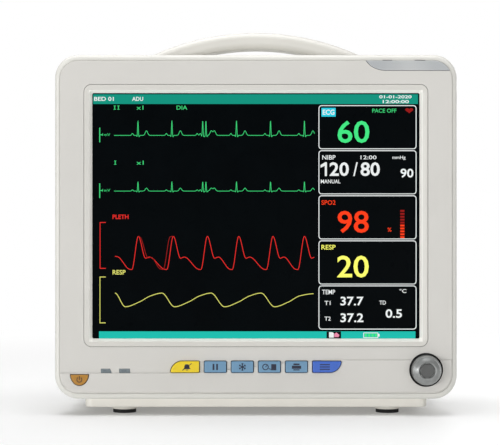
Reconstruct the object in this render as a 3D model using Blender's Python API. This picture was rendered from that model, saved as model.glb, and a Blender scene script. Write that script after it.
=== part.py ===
"""Bedside patient monitor: a 12.1-inch display in a moulded case, with a bow handle, keys and a push knob.

Metres, +Z up. X runs to the viewer's right, the display faces -Y and the feet stand on Z = 0.
"""

import math

import bmesh
import bpy

MM = 0.001
GAP = 0.3 * MM

# Case: each section is (y, half width, bottom, top, corner radius).
CASE_SECTIONS_MM = (
    (-62.5, 149.4, 14.1, 269.4, 16.0),
    (-61.0, 150.6, 12.9, 270.6, 17.2),
    (-58.5, 151.0, 12.5, 271.0, 17.5),
    (-32.0, 151.0, 12.5, 271.0, 17.5),
    (-22.0, 147.0, 12.5, 262.0, 17.5),
    (50.0, 147.0, 12.5, 262.0, 17.5),
    (66.0, 143.0, 16.0, 256.0, 24.0),
    (75.0, 132.0, 24.0, 244.0, 26.0),
)
CAVITY_SECTIONS_MM = (
    (-64.0, 147.5, 16.5, 266.9, 14.4),
    (-33.0, 147.5, 16.5, 266.9, 14.4),
    (-23.0, 143.8, 16.5, 258.5, 14.4),
    (48.0, 143.8, 16.5, 258.5, 14.4),
    (64.0, 139.5, 19.5, 252.0, 20.0),
    (71.5, 130.0, 26.5, 241.5, 23.0),
)
WALL = 3 * MM
BACK_Y = 75 * MM
BACK_WALL_INNER_Y = 71.5 * MM
SIDE_X = 147 * MM
SIDE_WALL_INNER_X = 143.8 * MM
CORNER_STEPS = 6

# Front bezel.
LOWER_FACE_Y = -65 * MM
UPPER_FACE_Y = -64.2 * MM
PLATE_BACK_Y = -61.8 * MM
SKIRT_BACK_Y = -48 * MM
BEZEL_HALF_WIDTH = 147.1 * MM
BEZEL_BOTTOM = 17 * MM
BEZEL_TOP = 266.4 * MM
BEZEL_CORNER = 14 * MM
BEZEL_EDGE = 1.6 * MM
BEZEL_WALL = 2.8 * MM
STEP_LEFT_Z = 32.1 * MM
STEP_RIGHT_Z = 41.9 * MM
STEP_TURN_X = 60 * MM

# Display.
SCREEN_CENTRE_Z = 150.05 * MM
SCREEN_HALF_WIDTH = 123 * MM
SCREEN_HALF_HEIGHT = 92.25 * MM
SURROUND_CENTRE_Z = 150.2 * MM
SURROUND_HALF_WIDTH = 129.1 * MM
SURROUND_HALF_HEIGHT = 98.5 * MM
SURROUND_CORNER = 6 * MM
SURROUND_LAND = 1 * MM
SURROUND_BACK_Y = -59.3 * MM
PANEL_FRONT_Y = -59 * MM
PANEL_BACK_Y = -50 * MM
PANEL_HALF_WIDTH = 135 * MM
PANEL_HALF_HEIGHT = 101 * MM
BRACKET_DEPTH = 11 * MM
BRACKET_SHEET = 1.5 * MM

# Alarm lamp.
LAMP_TIP_X = 82.5 * MM
LAMP_HEEL_X = 97 * MM
LAMP_BOTTOM = 259 * MM
LAMP_FRONT_Y = -64.4 * MM
LAMP_BACK_Y = -58.3 * MM
LAMP_BOARD_MM = ((100, 137), (-56.6, -55), (253, 262))

# Keys.
KEY_CENTRE_Z = 36.95 * MM
KEY_HEIGHT = 9.3 * MM
KEY_WIDTH = 17.3 * MM
KEY_PITCH = 20.25 * MM
KEY_CORNER = 1.1 * MM
KEY_CLEARANCE = 0.45 * MM
KEY_FRONT_Y = -66.4 * MM
KEY_BACK_Y = -60.2 * MM
KEY_FLANGE = 1 * MM
END_KEY_WIDTH = 22.4 * MM
END_KEY_CENTRE_X = 53.2 * MM
KEY_EDGE = 0.4 * MM
POWER_CENTRE_X = -132.1 * MM
POWER_TOP = 31.5 * MM
POWER_HALF_WIDTH = 7.2 * MM
POWER_DEPTH = 8.8 * MM
POWER_FRONT_Y = -66 * MM
KEYPAD_BOARD_MM = ((-141, 112), (-57, -55.4), (23, 45))

# Status light guides.
LIGHT_CENTRES_X = (-112.1 * MM, -98.35 * MM)
LIGHT_WIDTH = 8 * MM
LIGHT_BOTTOM = 32.3 * MM
LIGHT_HEIGHT = 3.1 * MM

# Turn-and-push control.
KNOB_X = 127.5 * MM
KNOB_Z = 34.6 * MM
KNOB_RADIUS = 12 * MM
KNOB_FRONT_Y = -75 * MM
KNOB_BACK_Y = -65.3 * MM
KNOB_WELL_RADIUS = 12.7 * MM
KNOB_WELL_Y = -63.6 * MM
ENCODER_BUSH_RADIUS = 4.4 * MM
ENCODER_BORE_RADIUS = 3.4 * MM
ENCODER_BODY_RADIUS = 7.5 * MM
ENCODER_BACK_Y = -50.5 * MM
ENCODER_BORE_END_Y = -52.8 * MM
SHAFT_RADIUS = 3 * MM
SHAFT_END_Y = -56 * MM
KNOB_BORE_END_Y = -72 * MM
PLUNGER_RADIUS = 2.4 * MM
PLUNGER_LENGTH = 1.8 * MM

# Handle and its finger well.
HANDLE_CENTRE_Z = 97.4 * MM
HANDLE_OUTER_RADIUS = 196 * MM
HANDLE_INNER_RADIUS = 183 * MM
HANDLE_SEAT_Z = 262.3 * MM
HANDLE_FRONT_Y = -8 * MM
HANDLE_BACK_Y = 18 * MM
HANDLE_EDGE = 2.6 * MM
HANDLE_STEPS = 22
WELL_HALF_WIDTH = 76 * MM
WELL_Y = (-20 * MM, 47 * MM)
WELL_FLOOR_Z = 247 * MM
WELL_CORNER = 8 * MM

# Base and feet.
BASE_HALF_WIDTH = 129.5 * MM
BASE_Y = (-51 * MM, 60 * MM)
BASE_BOTTOM = 5.4 * MM
BASE_TOP = 12.2 * MM
BASE_CORNER = 6 * MM
FOOT_X = 100.5 * MM
FOOT_ROWS_Y = (-34 * MM, 43 * MM)
FOOT_TOP_RADIUS = 10.8 * MM
FOOT_LOW_RADIUS = 9.2 * MM
PAD_RADIUS = 8.8 * MM
PAD_HEIGHT = 2.5 * MM
INSERT_HALF_SPACING = (50 * MM, 40 * MM)
INSERT_RADIUS = 2.1 * MM
INSERT_DEPTH = 5 * MM

# Left side: parameter sockets, as (name, y, z, flange radius, neck radius, bore radius).
PANEL_X = (-143.4 * MM, -141 * MM)
PANEL_OPENING_Y = (-12 * MM, 38 * MM)
PANEL_OPENING_Z = (72 * MM, 216 * MM)
PANEL_LAP = 4 * MM
SOCKET_OUTER_X = -149.5 * MM
SOCKET_INNER_X = -126 * MM
SOCKET_FLANGE_X = -143.8 * MM
SOCKETS_MM = (
    ("ecg_socket", 13, 196, 12.5, 10.5, 8.5),
    ("spo2_socket", 13, 164, 10.5, 8.5, 6.5),
    ("temperature_socket_1", 13, 138, 7.0, 5.5, 3.3),
    ("temperature_socket_2", 13, 118, 7.0, 5.5, 3.3),
    ("cuff_hose_port", 13, 92, 9.0, 7.0, 3.0),
)

# Right side: strip recorder.
RECORDER_Y = (-14 * MM, 46 * MM)
RECORDER_Z = (95 * MM, 180 * MM)
RECORDER_INNER_X = 90 * MM
RECORDER_MOUTH_X = 143.4 * MM
DOOR_THICKNESS = 3.1 * MM
RECORDER_HINGE_Z = 97.1 * MM
RECORDER_DOOR_TOP = 160 * MM
ROLL_CENTRE_X = 117 * MM
ROLL_CENTRE_Z = 122 * MM
ROLL_RADIUS = 20 * MM
ROLL_CORE_RADIUS = 6.5 * MM
SPINDLE_RADIUS = 6 * MM
ROLL_Y = (-9 * MM, 41 * MM)
PLATEN_X = 138.5 * MM
PLATEN_Z = 155 * MM
PLATEN_RADIUS = 4 * MM
PLATEN_PIN_RADIUS = 1.5 * MM
LATCH_Y = (8 * MM, 24 * MM)
LATCH_Z = (137 * MM, 145 * MM)

# Back: battery bay, metal socket plate and screws.
BATTERY_X = (40 * MM, 116 * MM)
BATTERY_Z = (32 * MM, 80 * MM)
BATTERY_BAY_FRONT_Y = 12 * MM
BATTERY_HINGE_Z = 33.9 * MM
SOCKET_PLATE_X = (-114 * MM, -30 * MM)
SOCKET_PLATE_Z = (34 * MM, 66 * MM)
SOCKET_PLATE_Y = (69.4 * MM, 71.1 * MM)
INLET_X = -94 * MM
NETWORK_X = -62 * MM
GROUND_X = -42 * MM
STUD_RADIUS = 3 * MM
STUD_END_Y = 60 * MM
PORT_Z = 50 * MM
PORT_CORNER = 1 * MM
INLET_HALVES = ((15 * MM, 12 * MM), (13.5 * MM, 10 * MM), (11.2 * MM, 7.2 * MM))
NETWORK_HALVES = ((9 * MM, 8.2 * MM), (8 * MM, 6.8 * MM), (6 * MM, 4.2 * MM))
BLADES_MM = ((-7, -1.5), (0, 2), (7, -1.5))
BLADE_Y = (57 * MM, 68 * MM)
BACK_SCREWS_MM = ((-112, 92), (112, 104), (-112, 226), (112, 226))
SCREW_HEAD_RADIUS = 3.7 * MM
SCREW_HEAD_HEIGHT = 1.1 * MM
SCREW_SHANK_RADIUS = 1.4 * MM
SCREW_END_Y = 55 * MM
VENT_COUNT = 11
VENT_PITCH = 9 * MM
VENT_WIDTH = 3 * MM
VENT_Z = (150 * MM, 205 * MM)
GRILLE_COUNT = 6
GRILLE_PITCH = 5 * MM
GRILLE_WIDTH = 2.2 * MM
GRILLE_Y = (-4 * MM, 30 * MM)
GRILLE_BOTTOM = 30 * MM

# Inside, as (low, high) along each axis.
MAIN_BOARD_MM = ((-118, 78), (-34, -32.4), (96, 236))
BOARD_PARTS_MM = (((-90, -50), (180, 215), 6), ((-30, 10), (150, 190), 4), ((30, 66), (110, 140), 9))
POWER_SUPPLY_MM = ((-100, 26), (-30, 36), (20, 64))
PUMP_CENTRE_MM = (-75, 22, 110)
PUMP_PROFILE_MM = ((-24, 0), (-24, 15), (20, 15), (20, 8), (27, 8), (27, 0))
SPEAKER_CENTRE_MM = (-142, 13, 42)
SPEAKER_PROFILE_MM = ((0, 0), (0, 17), (3, 17), (12, 9), (18, 9), (18, 0))

# Colours as linear RGB, with roughness and metallic.
FINISHES = {
    "case_white": ((0.66, 0.65, 0.60), 0.42, 0.0),
    "handle_white": ((0.64, 0.63, 0.59), 0.42, 0.0),
    "base_white": ((0.62, 0.60, 0.55), 0.45, 0.0),
    "surround_white": ((0.68, 0.67, 0.63), 0.38, 0.0),
    "display_black": ((0.004, 0.004, 0.005), 0.3, 0.0),
    "lamp_lens": ((0.55, 0.60, 0.65), 0.2, 0.0),
    "light_guide": ((0.17, 0.21, 0.23), 0.35, 0.0),
    "power_orange": ((0.56, 0.25, 0.045), 0.4, 0.0),
    "key_yellow": ((0.80, 0.60, 0.02), 0.4, 0.0),
    "key_pale_blue": ((0.17, 0.34, 0.55), 0.4, 0.0),
    "key_blue": ((0.045, 0.14, 0.67), 0.4, 0.0),
    "knob_grey": ((0.18, 0.19, 0.18), 0.35, 0.0),
    "steel": ((0.55, 0.55, 0.56), 0.3, 1.0),
    "sheet_steel": ((0.50, 0.51, 0.52), 0.4, 1.0),
    "board_green": ((0.02, 0.14, 0.06), 0.5, 0.0),
    "rubber_black": ((0.012, 0.012, 0.012), 0.8, 0.0),
    "socket_black": ((0.02, 0.02, 0.022), 0.4, 0.0),
    "socket_blue": ((0.04, 0.13, 0.42), 0.4, 0.0),
    "socket_green": ((0.05, 0.30, 0.14), 0.4, 0.0),
    "socket_brown": ((0.20, 0.07, 0.03), 0.4, 0.0),
    "plate_grey": ((0.42, 0.43, 0.43), 0.45, 0.0),
    "recorder_grey": ((0.30, 0.31, 0.31), 0.45, 0.0),
    "paper_white": ((0.85, 0.85, 0.83), 0.8, 0.0),
    "battery_wrap": ((0.03, 0.05, 0.12), 0.45, 0.0),
}


def clear_scene():
    for obj in list(bpy.data.objects):
        bpy.data.objects.remove(obj)


def finish_material(finish):
    material = bpy.data.materials.get(finish)
    if material:
        return material
    colour, roughness, metallic = FINISHES[finish]
    material = bpy.data.materials.new(finish)
    material.use_nodes = True
    shader = material.node_tree.nodes["Principled BSDF"]
    shader.inputs["Base Color"].default_value = (*colour, 1)
    shader.inputs["Roughness"].default_value = roughness
    shader.inputs["Metallic"].default_value = metallic
    return material


def on_axis(axis, across, up, along):
    """A point from its two coordinates across an axis and the one along it."""
    if axis == "X":
        return (along, across, up)
    if axis == "Y":
        return (across, along, up)
    return (across, up, along)


def new_object(name, bm, finish, location):
    bmesh.ops.recalc_face_normals(bm, faces=bm.faces)
    mesh = bpy.data.meshes.new(name)
    bm.to_mesh(mesh)
    bm.free()
    mesh.shade_smooth()
    mesh.set_sharp_from_angle(angle=math.radians(32))
    obj = bpy.data.objects.new(name, mesh)
    bpy.context.scene.collection.objects.link(obj)
    obj.location = location
    if finish:
        mesh.materials.append(finish_material(finish))
    else:
        obj.hide_render = True
        obj.display_type = "WIRE"
    return obj


def stacked(name, axis, sections, finish=None, location=(0, 0, 0)):
    """A closed solid through outlines of equal point counts; a section is (place along the axis, outline)."""
    bm = bmesh.new()
    rings = []
    for along, outline in sections:
        rings.append([bm.verts.new(on_axis(axis, u, v, along)) for u, v in outline])
    for low, high in zip(rings, rings[1:]):
        for i in range(len(low)):
            j = (i + 1) % len(low)
            bm.faces.new((low[i], low[j], high[j], high[i]))
    bm.faces.new(rings[0])
    bm.faces.new(rings[-1])
    return new_object(name, bm, finish, location)


def turned(name, axis, profile, segments, finish=None, location=(0, 0, 0), is_ring=False):
    """A turned solid from (place along the axis, radius) points; a ring's profile closes on itself."""
    bm = bmesh.new()
    rings = []
    for along, radius in profile:
        if radius == 0:
            rings.append([bm.verts.new(on_axis(axis, 0, 0, along))] * segments)
            continue
        ring = []
        for k in range(segments):
            angle = 2 * math.pi * k / segments
            across = radius * math.cos(angle)
            up = radius * math.sin(angle)
            ring.append(bm.verts.new(on_axis(axis, across, up, along)))
        rings.append(ring)
    pairs = list(zip(rings, rings[1:]))
    if is_ring:
        pairs.append((rings[-1], rings[0]))
    for low, high in pairs:
        for i in range(segments):
            j = (i + 1) % segments
            corners = list(dict.fromkeys((low[i], low[j], high[j], high[i])))
            bm.faces.new(corners)
    return new_object(name, bm, finish, location)


def prism(name, axis, outline, start, end, finish=None, location=(0, 0, 0)):
    return stacked(name, axis, ((start, outline), (end, outline)), finish, location)


def rod(name, axis, start, end, radius, segments, finish=None, location=(0, 0, 0)):
    profile = ((start, 0), (start, radius), (end, radius), (end, 0))
    return turned(name, axis, profile, segments, finish, location)


def arc(centre_u, centre_v, radius, start_deg, end_deg, steps):
    points = []
    for i in range(steps + 1):
        angle = math.radians(start_deg + (end_deg - start_deg) * i / steps)
        points.append((centre_u + radius * math.cos(angle), centre_v + radius * math.sin(angle)))
    return points


def rounded_outline(left, right, low, high, corner, steps=CORNER_STEPS):
    """A rounded rectangle, anticlockwise from the right of its lower edge."""
    points = arc(right - corner, low + corner, corner, -90, 0, steps)
    points += arc(right - corner, high - corner, corner, 0, 90, steps)
    points += arc(left + corner, high - corner, corner, 90, 180, steps)
    points += arc(left + corner, low + corner, corner, 180, 270, steps)
    return points


def centred_outline(half_width, half_height, corner, steps=CORNER_STEPS):
    return rounded_outline(-half_width, half_width, -half_height, half_height, corner, steps)


def grown(outline, distance):
    """The anticlockwise outline moved outwards by a distance; a negative one moves it inwards."""
    moved = []
    count = len(outline)
    for i, (u, v) in enumerate(outline):
        before = outline[i - 1]
        after = outline[(i + 1) % count]
        first = (u - before[0], v - before[1])
        second = (after[0] - u, after[1] - v)
        first_length = math.hypot(*first)
        second_length = math.hypot(*second)
        normal_u = first[1] / first_length + second[1] / second_length
        normal_v = -first[0] / first_length - second[0] / second_length
        squared = normal_u**2 + normal_v**2
        moved.append((u + 2 * distance * normal_u / squared, v + 2 * distance * normal_v / squared))
    return moved


def block(name, x_range, y_range, z_range, finish=None, corner=0.0):
    """A box with upright corners rounded when a corner radius is given, with its origin at its centre."""
    centre = [(low + high) / 2 for low, high in (x_range, y_range, z_range)]
    half = [(high - low) / 2 for low, high in (x_range, y_range, z_range)]
    if corner:
        outline = centred_outline(half[0], half[1], corner, 4)
    else:
        outline = [(-half[0], -half[1]), (half[0], -half[1]), (half[0], half[1]), (-half[0], half[1])]
    return prism(name, "Z", outline, -half[2], half[2], finish, centre)


def boolean(target, tool, operation="DIFFERENCE"):
    modifier = target.modifiers.new(f"{operation.lower()} {tool.name}", "BOOLEAN")
    modifier.operation = operation
    modifier.solver = "EXACT"
    modifier.object = tool
    return target


def in_metres(pairs_mm):
    return [(first * MM, second * MM) for first, second in pairs_mm]


def metre_point(point_mm):
    return [value * MM for value in point_mm]


def case_sections(rows_mm):
    sections = []
    for y, half_width, bottom, top, corner in rows_mm:
        outline = rounded_outline(-half_width * MM, half_width * MM, bottom * MM, top * MM, corner * MM)
        sections.append((y * MM, outline))
    return sections


def make_rear_cover():
    cover = stacked("rear_cover", "Y", case_sections(CASE_SECTIONS_MM), "case_white")
    cavity = stacked("cut_cavity", "Y", case_sections(CAVITY_SECTIONS_MM))
    well_kept = block(
        "kept_well_walls",
        (-WELL_HALF_WIDTH - WALL, WELL_HALF_WIDTH + WALL),
        (WELL_Y[0] - WALL, WELL_Y[1] + WALL),
        (WELL_FLOOR_Z - WALL, BEZEL_TOP + WELL_CORNER),
        corner=WELL_CORNER + WALL,
    )
    boolean(cavity, well_kept)
    boolean(cover, cavity)
    well = block(
        "cut_finger_well",
        (-WELL_HALF_WIDTH, WELL_HALF_WIDTH),
        WELL_Y,
        (WELL_FLOOR_Z, BEZEL_TOP + WELL_CORNER),
        corner=WELL_CORNER,
    )
    boolean(cover, well)
    through_left = (-SIDE_X - WALL, -SIDE_WALL_INNER_X + WALL)
    through_right = (SIDE_WALL_INNER_X - WALL, SIDE_X + WALL)
    through_back = (BACK_WALL_INNER_Y - WALL, BACK_Y + WALL)
    boolean(cover, block("cut_socket_opening", through_left, PANEL_OPENING_Y, PANEL_OPENING_Z))
    boolean(cover, block("cut_recorder_opening", through_right, RECORDER_Y, RECORDER_Z))
    boolean(cover, block("cut_battery_opening", BATTERY_X, through_back, BATTERY_Z))
    boolean(cover, block("cut_port_opening", SOCKET_PLATE_X, through_back, SOCKET_PLATE_Z))
    for i in range(VENT_COUNT):
        x = (i - (VENT_COUNT - 1) / 2) * VENT_PITCH
        slot = block(f"cut_vent_{i}", (x - VENT_WIDTH / 2, x + VENT_WIDTH / 2), through_back, VENT_Z)
        boolean(cover, slot)
    for i in range(GRILLE_COUNT):
        z = GRILLE_BOTTOM + i * GRILLE_PITCH
        slot = block(f"cut_grille_{i}", through_left, GRILLE_Y, (z, z + GRILLE_WIDTH))
        boolean(cover, slot)
    for i, (x, z) in enumerate(BACK_SCREWS_MM):
        place = (x * MM, 0, z * MM)
        seat = BACK_Y - SCREW_HEAD_HEIGHT - 2 * GAP
        profile = (
            (BACK_WALL_INNER_Y - WALL, 0),
            (BACK_WALL_INNER_Y - WALL, SCREW_SHANK_RADIUS + GAP),
            (seat, SCREW_SHANK_RADIUS + GAP),
            (seat, SCREW_HEAD_RADIUS + GAP),
            (BACK_Y + WALL, SCREW_HEAD_RADIUS + GAP),
            (BACK_Y + WALL, 0),
        )
        boolean(cover, turned(f"cut_screw_seat_{i}", "Y", profile, 12, location=place))


def make_back_screws():
    head_top = BACK_Y - GAP
    head_seat = head_top - SCREW_HEAD_HEIGHT
    drive_floor = head_top - 0.9 * SCREW_HEAD_HEIGHT
    profile = (
        (SCREW_END_Y, 0),
        (SCREW_END_Y, SCREW_SHANK_RADIUS),
        (head_seat, SCREW_SHANK_RADIUS),
        (head_seat, SCREW_HEAD_RADIUS),
        (head_top, 0.86 * SCREW_HEAD_RADIUS),
        (head_top, 0.36 * SCREW_HEAD_RADIUS),
        (drive_floor, 0.3 * SCREW_HEAD_RADIUS),
        (drive_floor, 0),
    )
    for i, (x, z) in enumerate(BACK_SCREWS_MM, start=1):
        turned(f"back_screw_{i}", "Y", profile, 12, "steel", (x * MM, 0, z * MM))


def key_outline(is_end_key):
    """A key's outline about its centre; an end key has a quarter-round outer end on its left."""
    half_height = KEY_HEIGHT / 2
    if not is_end_key:
        return centred_outline(KEY_WIDTH / 2, half_height, KEY_CORNER, 3)
    half_width = END_KEY_WIDTH / 2
    points = arc(half_width - KEY_CORNER, -half_height + KEY_CORNER, KEY_CORNER, -90, 0, 3)
    points += arc(half_width - KEY_CORNER, half_height - KEY_CORNER, KEY_CORNER, 0, 90, 3)
    points += arc(-half_width + KEY_HEIGHT, -half_height, KEY_HEIGHT, 90, 176, 8)
    points.append((-half_width + KEY_CORNER, -half_height))
    return points


def half_turned(outline):
    return [(-u, -v) for u, v in outline]


def keys():
    """Each key as (name, centre x, outline, finish), from left to right."""
    end_key = key_outline(True)
    rows = [("silence_key", -END_KEY_CENTRE_X, end_key, "key_yellow")]
    for i, name in enumerate(("pause_key", "freeze_key", "pressure_key", "print_key")):
        rows.append((name, (i - 1.5) * KEY_PITCH, key_outline(False), "key_pale_blue"))
    rows.append(("menu_key", END_KEY_CENTRE_X, half_turned(end_key), "key_blue"))
    return rows


def power_outline():
    """A half ellipse under a flat top, about the middle of its flat edge."""
    points = [(-POWER_HALF_WIDTH, 0)]
    for i in range(1, 14):
        angle = math.pi + math.pi * i / 14
        points.append((POWER_HALF_WIDTH * math.cos(angle), POWER_DEPTH * math.sin(angle)))
    points.append((POWER_HALF_WIDTH, 0))
    return points


def light_outline():
    """A status light's window: a slot whose right end slants."""
    half = LIGHT_WIDTH / 2
    return [(-half, 0), (half, 0), (half - 1.2 * MM, LIGHT_HEIGHT), (-half, LIGHT_HEIGHT)]


def lamp_outline():
    """The lamp's outline: the bezel's own top edge and corner, a level lower edge and a curved left tip."""
    corner_x = BEZEL_HALF_WIDTH - BEZEL_CORNER
    corner_z = BEZEL_TOP - BEZEL_CORNER
    end_deg = math.degrees(math.asin((LAMP_BOTTOM - corner_z) / BEZEL_CORNER))
    points = arc(corner_x, corner_z, BEZEL_CORNER, end_deg, 90, 6)
    control = (LAMP_TIP_X + 4.5 * MM, LAMP_BOTTOM + 0.6 * MM)
    for i in range(7):
        t = i / 6
        u = (1 - t) ** 2 * LAMP_TIP_X + 2 * t * (1 - t) * control[0] + t**2 * LAMP_HEEL_X
        v = (1 - t) ** 2 * BEZEL_TOP + 2 * t * (1 - t) * control[1] + t**2 * LAMP_BOTTOM
        points.append((u, v))
    return points


def make_front_bezel():
    outline = rounded_outline(-BEZEL_HALF_WIDTH, BEZEL_HALF_WIDTH, BEZEL_BOTTOM, BEZEL_TOP, BEZEL_CORNER)
    sections = (
        (LOWER_FACE_Y, grown(outline, -BEZEL_EDGE)),
        (LOWER_FACE_Y + BEZEL_EDGE, outline),
        (SKIRT_BACK_Y, outline),
    )
    bezel = stacked("front_bezel", "Y", sections, "case_white")
    inner = grown(outline, -BEZEL_WALL)
    boolean(bezel, prism("cut_behind_plate", "Y", inner, PLATE_BACK_Y, SKIRT_BACK_Y + WALL))
    beyond = BEZEL_HALF_WIDTH + BEZEL_CORNER
    above_step = [
        (-beyond, STEP_LEFT_Z),
        (-STEP_TURN_X, STEP_LEFT_Z),
        (STEP_TURN_X, STEP_RIGHT_Z),
        (beyond, STEP_RIGHT_Z),
        (beyond, BEZEL_TOP + BEZEL_CORNER),
        (-beyond, BEZEL_TOP + BEZEL_CORNER),
    ]
    front = LOWER_FACE_Y - WALL
    boolean(bezel, prism("cut_upper_face", "Y", above_step, front, UPPER_FACE_Y))
    behind = PLATE_BACK_Y + WALL
    opening = centred_outline(SURROUND_HALF_WIDTH, SURROUND_HALF_HEIGHT, SURROUND_CORNER)
    boolean(bezel, prism("cut_screen", "Y", opening, front, behind, location=(0, 0, SURROUND_CENTRE_Z)))
    for name, x, key, _ in keys():
        hole = grown(key, KEY_CLEARANCE)
        place = (x, 0, KEY_CENTRE_Z)
        boolean(bezel, prism(f"cut_{name}", "Y", hole, front, behind, location=place))
    hole = grown(power_outline(), KEY_CLEARANCE)
    place = (POWER_CENTRE_X, 0, POWER_TOP)
    boolean(bezel, prism("cut_power_button", "Y", hole, front, behind, location=place))
    hole = grown(light_outline(), GAP)
    for i, x in enumerate(LIGHT_CENTRES_X):
        place = (x, 0, LIGHT_BOTTOM)
        boolean(bezel, prism(f"cut_light_{i}", "Y", hole, front, behind, location=place))
    knob_profile = (
        (front, 0),
        (front, KNOB_WELL_RADIUS),
        (KNOB_WELL_Y, KNOB_WELL_RADIUS),
        (KNOB_WELL_Y, ENCODER_BUSH_RADIUS + GAP),
        (behind, ENCODER_BUSH_RADIUS + GAP),
        (behind, 0),
    )
    boolean(bezel, turned("cut_knob_well", "Y", knob_profile, 32, location=(KNOB_X, 0, KNOB_Z)))
    corner_cut = grown(lamp_outline(), GAP)
    boolean(bezel, prism("cut_lamp", "Y", corner_cut, front, LAMP_BACK_Y + GAP))


def make_screen():
    place = (0, 0, SURROUND_CENTRE_Z)
    outer = centred_outline(SURROUND_HALF_WIDTH - GAP, SURROUND_HALF_HEIGHT - GAP, SURROUND_CORNER - GAP)
    surround = prism("screen_surround", "Y", outer, UPPER_FACE_Y, SURROUND_BACK_Y, "surround_white", place)
    wide = grown(outer, -SURROUND_LAND)
    shift = SCREEN_CENTRE_Z - SURROUND_CENTRE_Z
    narrow = []
    for u, v in centred_outline(SCREEN_HALF_WIDTH, SCREEN_HALF_HEIGHT, 1.2 * MM):
        narrow.append((u, v + shift))
    slope = (
        (UPPER_FACE_Y - WALL, wide),
        (UPPER_FACE_Y, wide),
        (SURROUND_BACK_Y - 0.8 * MM, narrow),
        (SURROUND_BACK_Y + WALL, narrow),
    )
    boolean(surround, stacked("cut_screen_slope", "Y", slope, location=place))
    block(
        "lcd_panel",
        (-PANEL_HALF_WIDTH, PANEL_HALF_WIDTH),
        (PANEL_FRONT_Y, PANEL_BACK_Y),
        (SCREEN_CENTRE_Z - PANEL_HALF_HEIGHT, SCREEN_CENTRE_Z + PANEL_HALF_HEIGHT),
        "display_black",
    )
    half = PANEL_HALF_WIDTH + 3 * MM
    front = PANEL_BACK_Y + GAP
    channel = [
        (-half, front),
        (half, front),
        (half, front + BRACKET_DEPTH),
        (half - BRACKET_SHEET, front + BRACKET_DEPTH),
        (half - BRACKET_SHEET, front + BRACKET_SHEET),
        (-half + BRACKET_SHEET, front + BRACKET_SHEET),
        (-half + BRACKET_SHEET, front + BRACKET_DEPTH),
        (-half, front + BRACKET_DEPTH),
    ]
    reach = PANEL_HALF_HEIGHT - 4 * MM
    prism("lcd_bracket", "Z", channel, -reach, reach, "sheet_steel", (0, 0, SCREEN_CENTRE_Z))


def make_alarm_lamp():
    outline = lamp_outline()
    sections = (
        (LAMP_FRONT_Y, grown(outline, -0.5 * MM)),
        (LAMP_FRONT_Y + 0.5 * MM, outline),
        (LAMP_BACK_Y, outline),
    )
    stacked("alarm_lens", "Y", sections, "lamp_lens")
    block("alarm_light_board", *in_metres(LAMP_BOARD_MM), "board_green")


def make_button(name, outline, front_y, finish, location):
    """A cap that stands proud of the face, on a wider flange that holds it in behind the plate."""
    flange = grown(outline, KEY_FLANGE)
    flange_front = PLATE_BACK_Y + GAP
    sections = (
        (front_y, grown(outline, -KEY_EDGE)),
        (front_y + KEY_EDGE, outline),
        (flange_front, outline),
        (flange_front, flange),
        (KEY_BACK_Y, flange),
    )
    stacked(name, "Y", sections, finish, location)


def make_keys():
    for name, x, outline, finish in keys():
        make_button(name, outline, KEY_FRONT_Y, finish, (x, 0, KEY_CENTRE_Z))
    place = (POWER_CENTRE_X, 0, POWER_TOP)
    make_button("power_button", power_outline(), POWER_FRONT_Y, "power_orange", place)
    block("keypad_board", *in_metres(KEYPAD_BOARD_MM), "board_green")
    outline = light_outline()
    for i, x in enumerate(LIGHT_CENTRES_X, start=1):
        back = KEYPAD_BOARD_MM[1][0] * MM - GAP
        front = UPPER_FACE_Y - 0.2 * MM
        prism(f"light_guide_{i}", "Y", outline, front, back, "light_guide", (x, 0, LIGHT_BOTTOM))


def make_control():
    place = (KNOB_X, 0, KNOB_Z)
    knob = (
        (KNOB_FRONT_Y + 1.1 * MM, 0),
        (KNOB_FRONT_Y + 0.9 * MM, 0.33 * KNOB_RADIUS),
        (KNOB_FRONT_Y, 0.52 * KNOB_RADIUS),
        (KNOB_FRONT_Y + 0.5 * MM, 0.83 * KNOB_RADIUS),
        (KNOB_FRONT_Y + 2 * MM, 0.97 * KNOB_RADIUS),
        (KNOB_BACK_Y, KNOB_RADIUS),
        (KNOB_BACK_Y, SHAFT_RADIUS + GAP),
        (KNOB_BORE_END_Y, SHAFT_RADIUS + GAP),
        (KNOB_BORE_END_Y, 0),
    )
    turned("control_knob", "Y", knob, 28, "knob_grey", place)
    rod("encoder_shaft", "Y", KNOB_BORE_END_Y + GAP, SHAFT_END_Y, SHAFT_RADIUS, 16, "steel", place)
    front = SHAFT_END_Y + GAP
    rod("encoder_plunger", "Y", front, front + PLUNGER_LENGTH, PLUNGER_RADIUS, 12, "steel", place)
    body = (
        (ENCODER_BACK_Y, 0),
        (ENCODER_BACK_Y, ENCODER_BODY_RADIUS),
        (PLATE_BACK_Y + GAP, ENCODER_BODY_RADIUS),
        (PLATE_BACK_Y + GAP, ENCODER_BUSH_RADIUS),
        (KNOB_WELL_Y, ENCODER_BUSH_RADIUS),
        (KNOB_WELL_Y, ENCODER_BORE_RADIUS),
        (ENCODER_BORE_END_Y, ENCODER_BORE_RADIUS),
        (ENCODER_BORE_END_Y, 0),
    )
    turned("encoder_body", "Y", body, 16, "sheet_steel", place)


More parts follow.
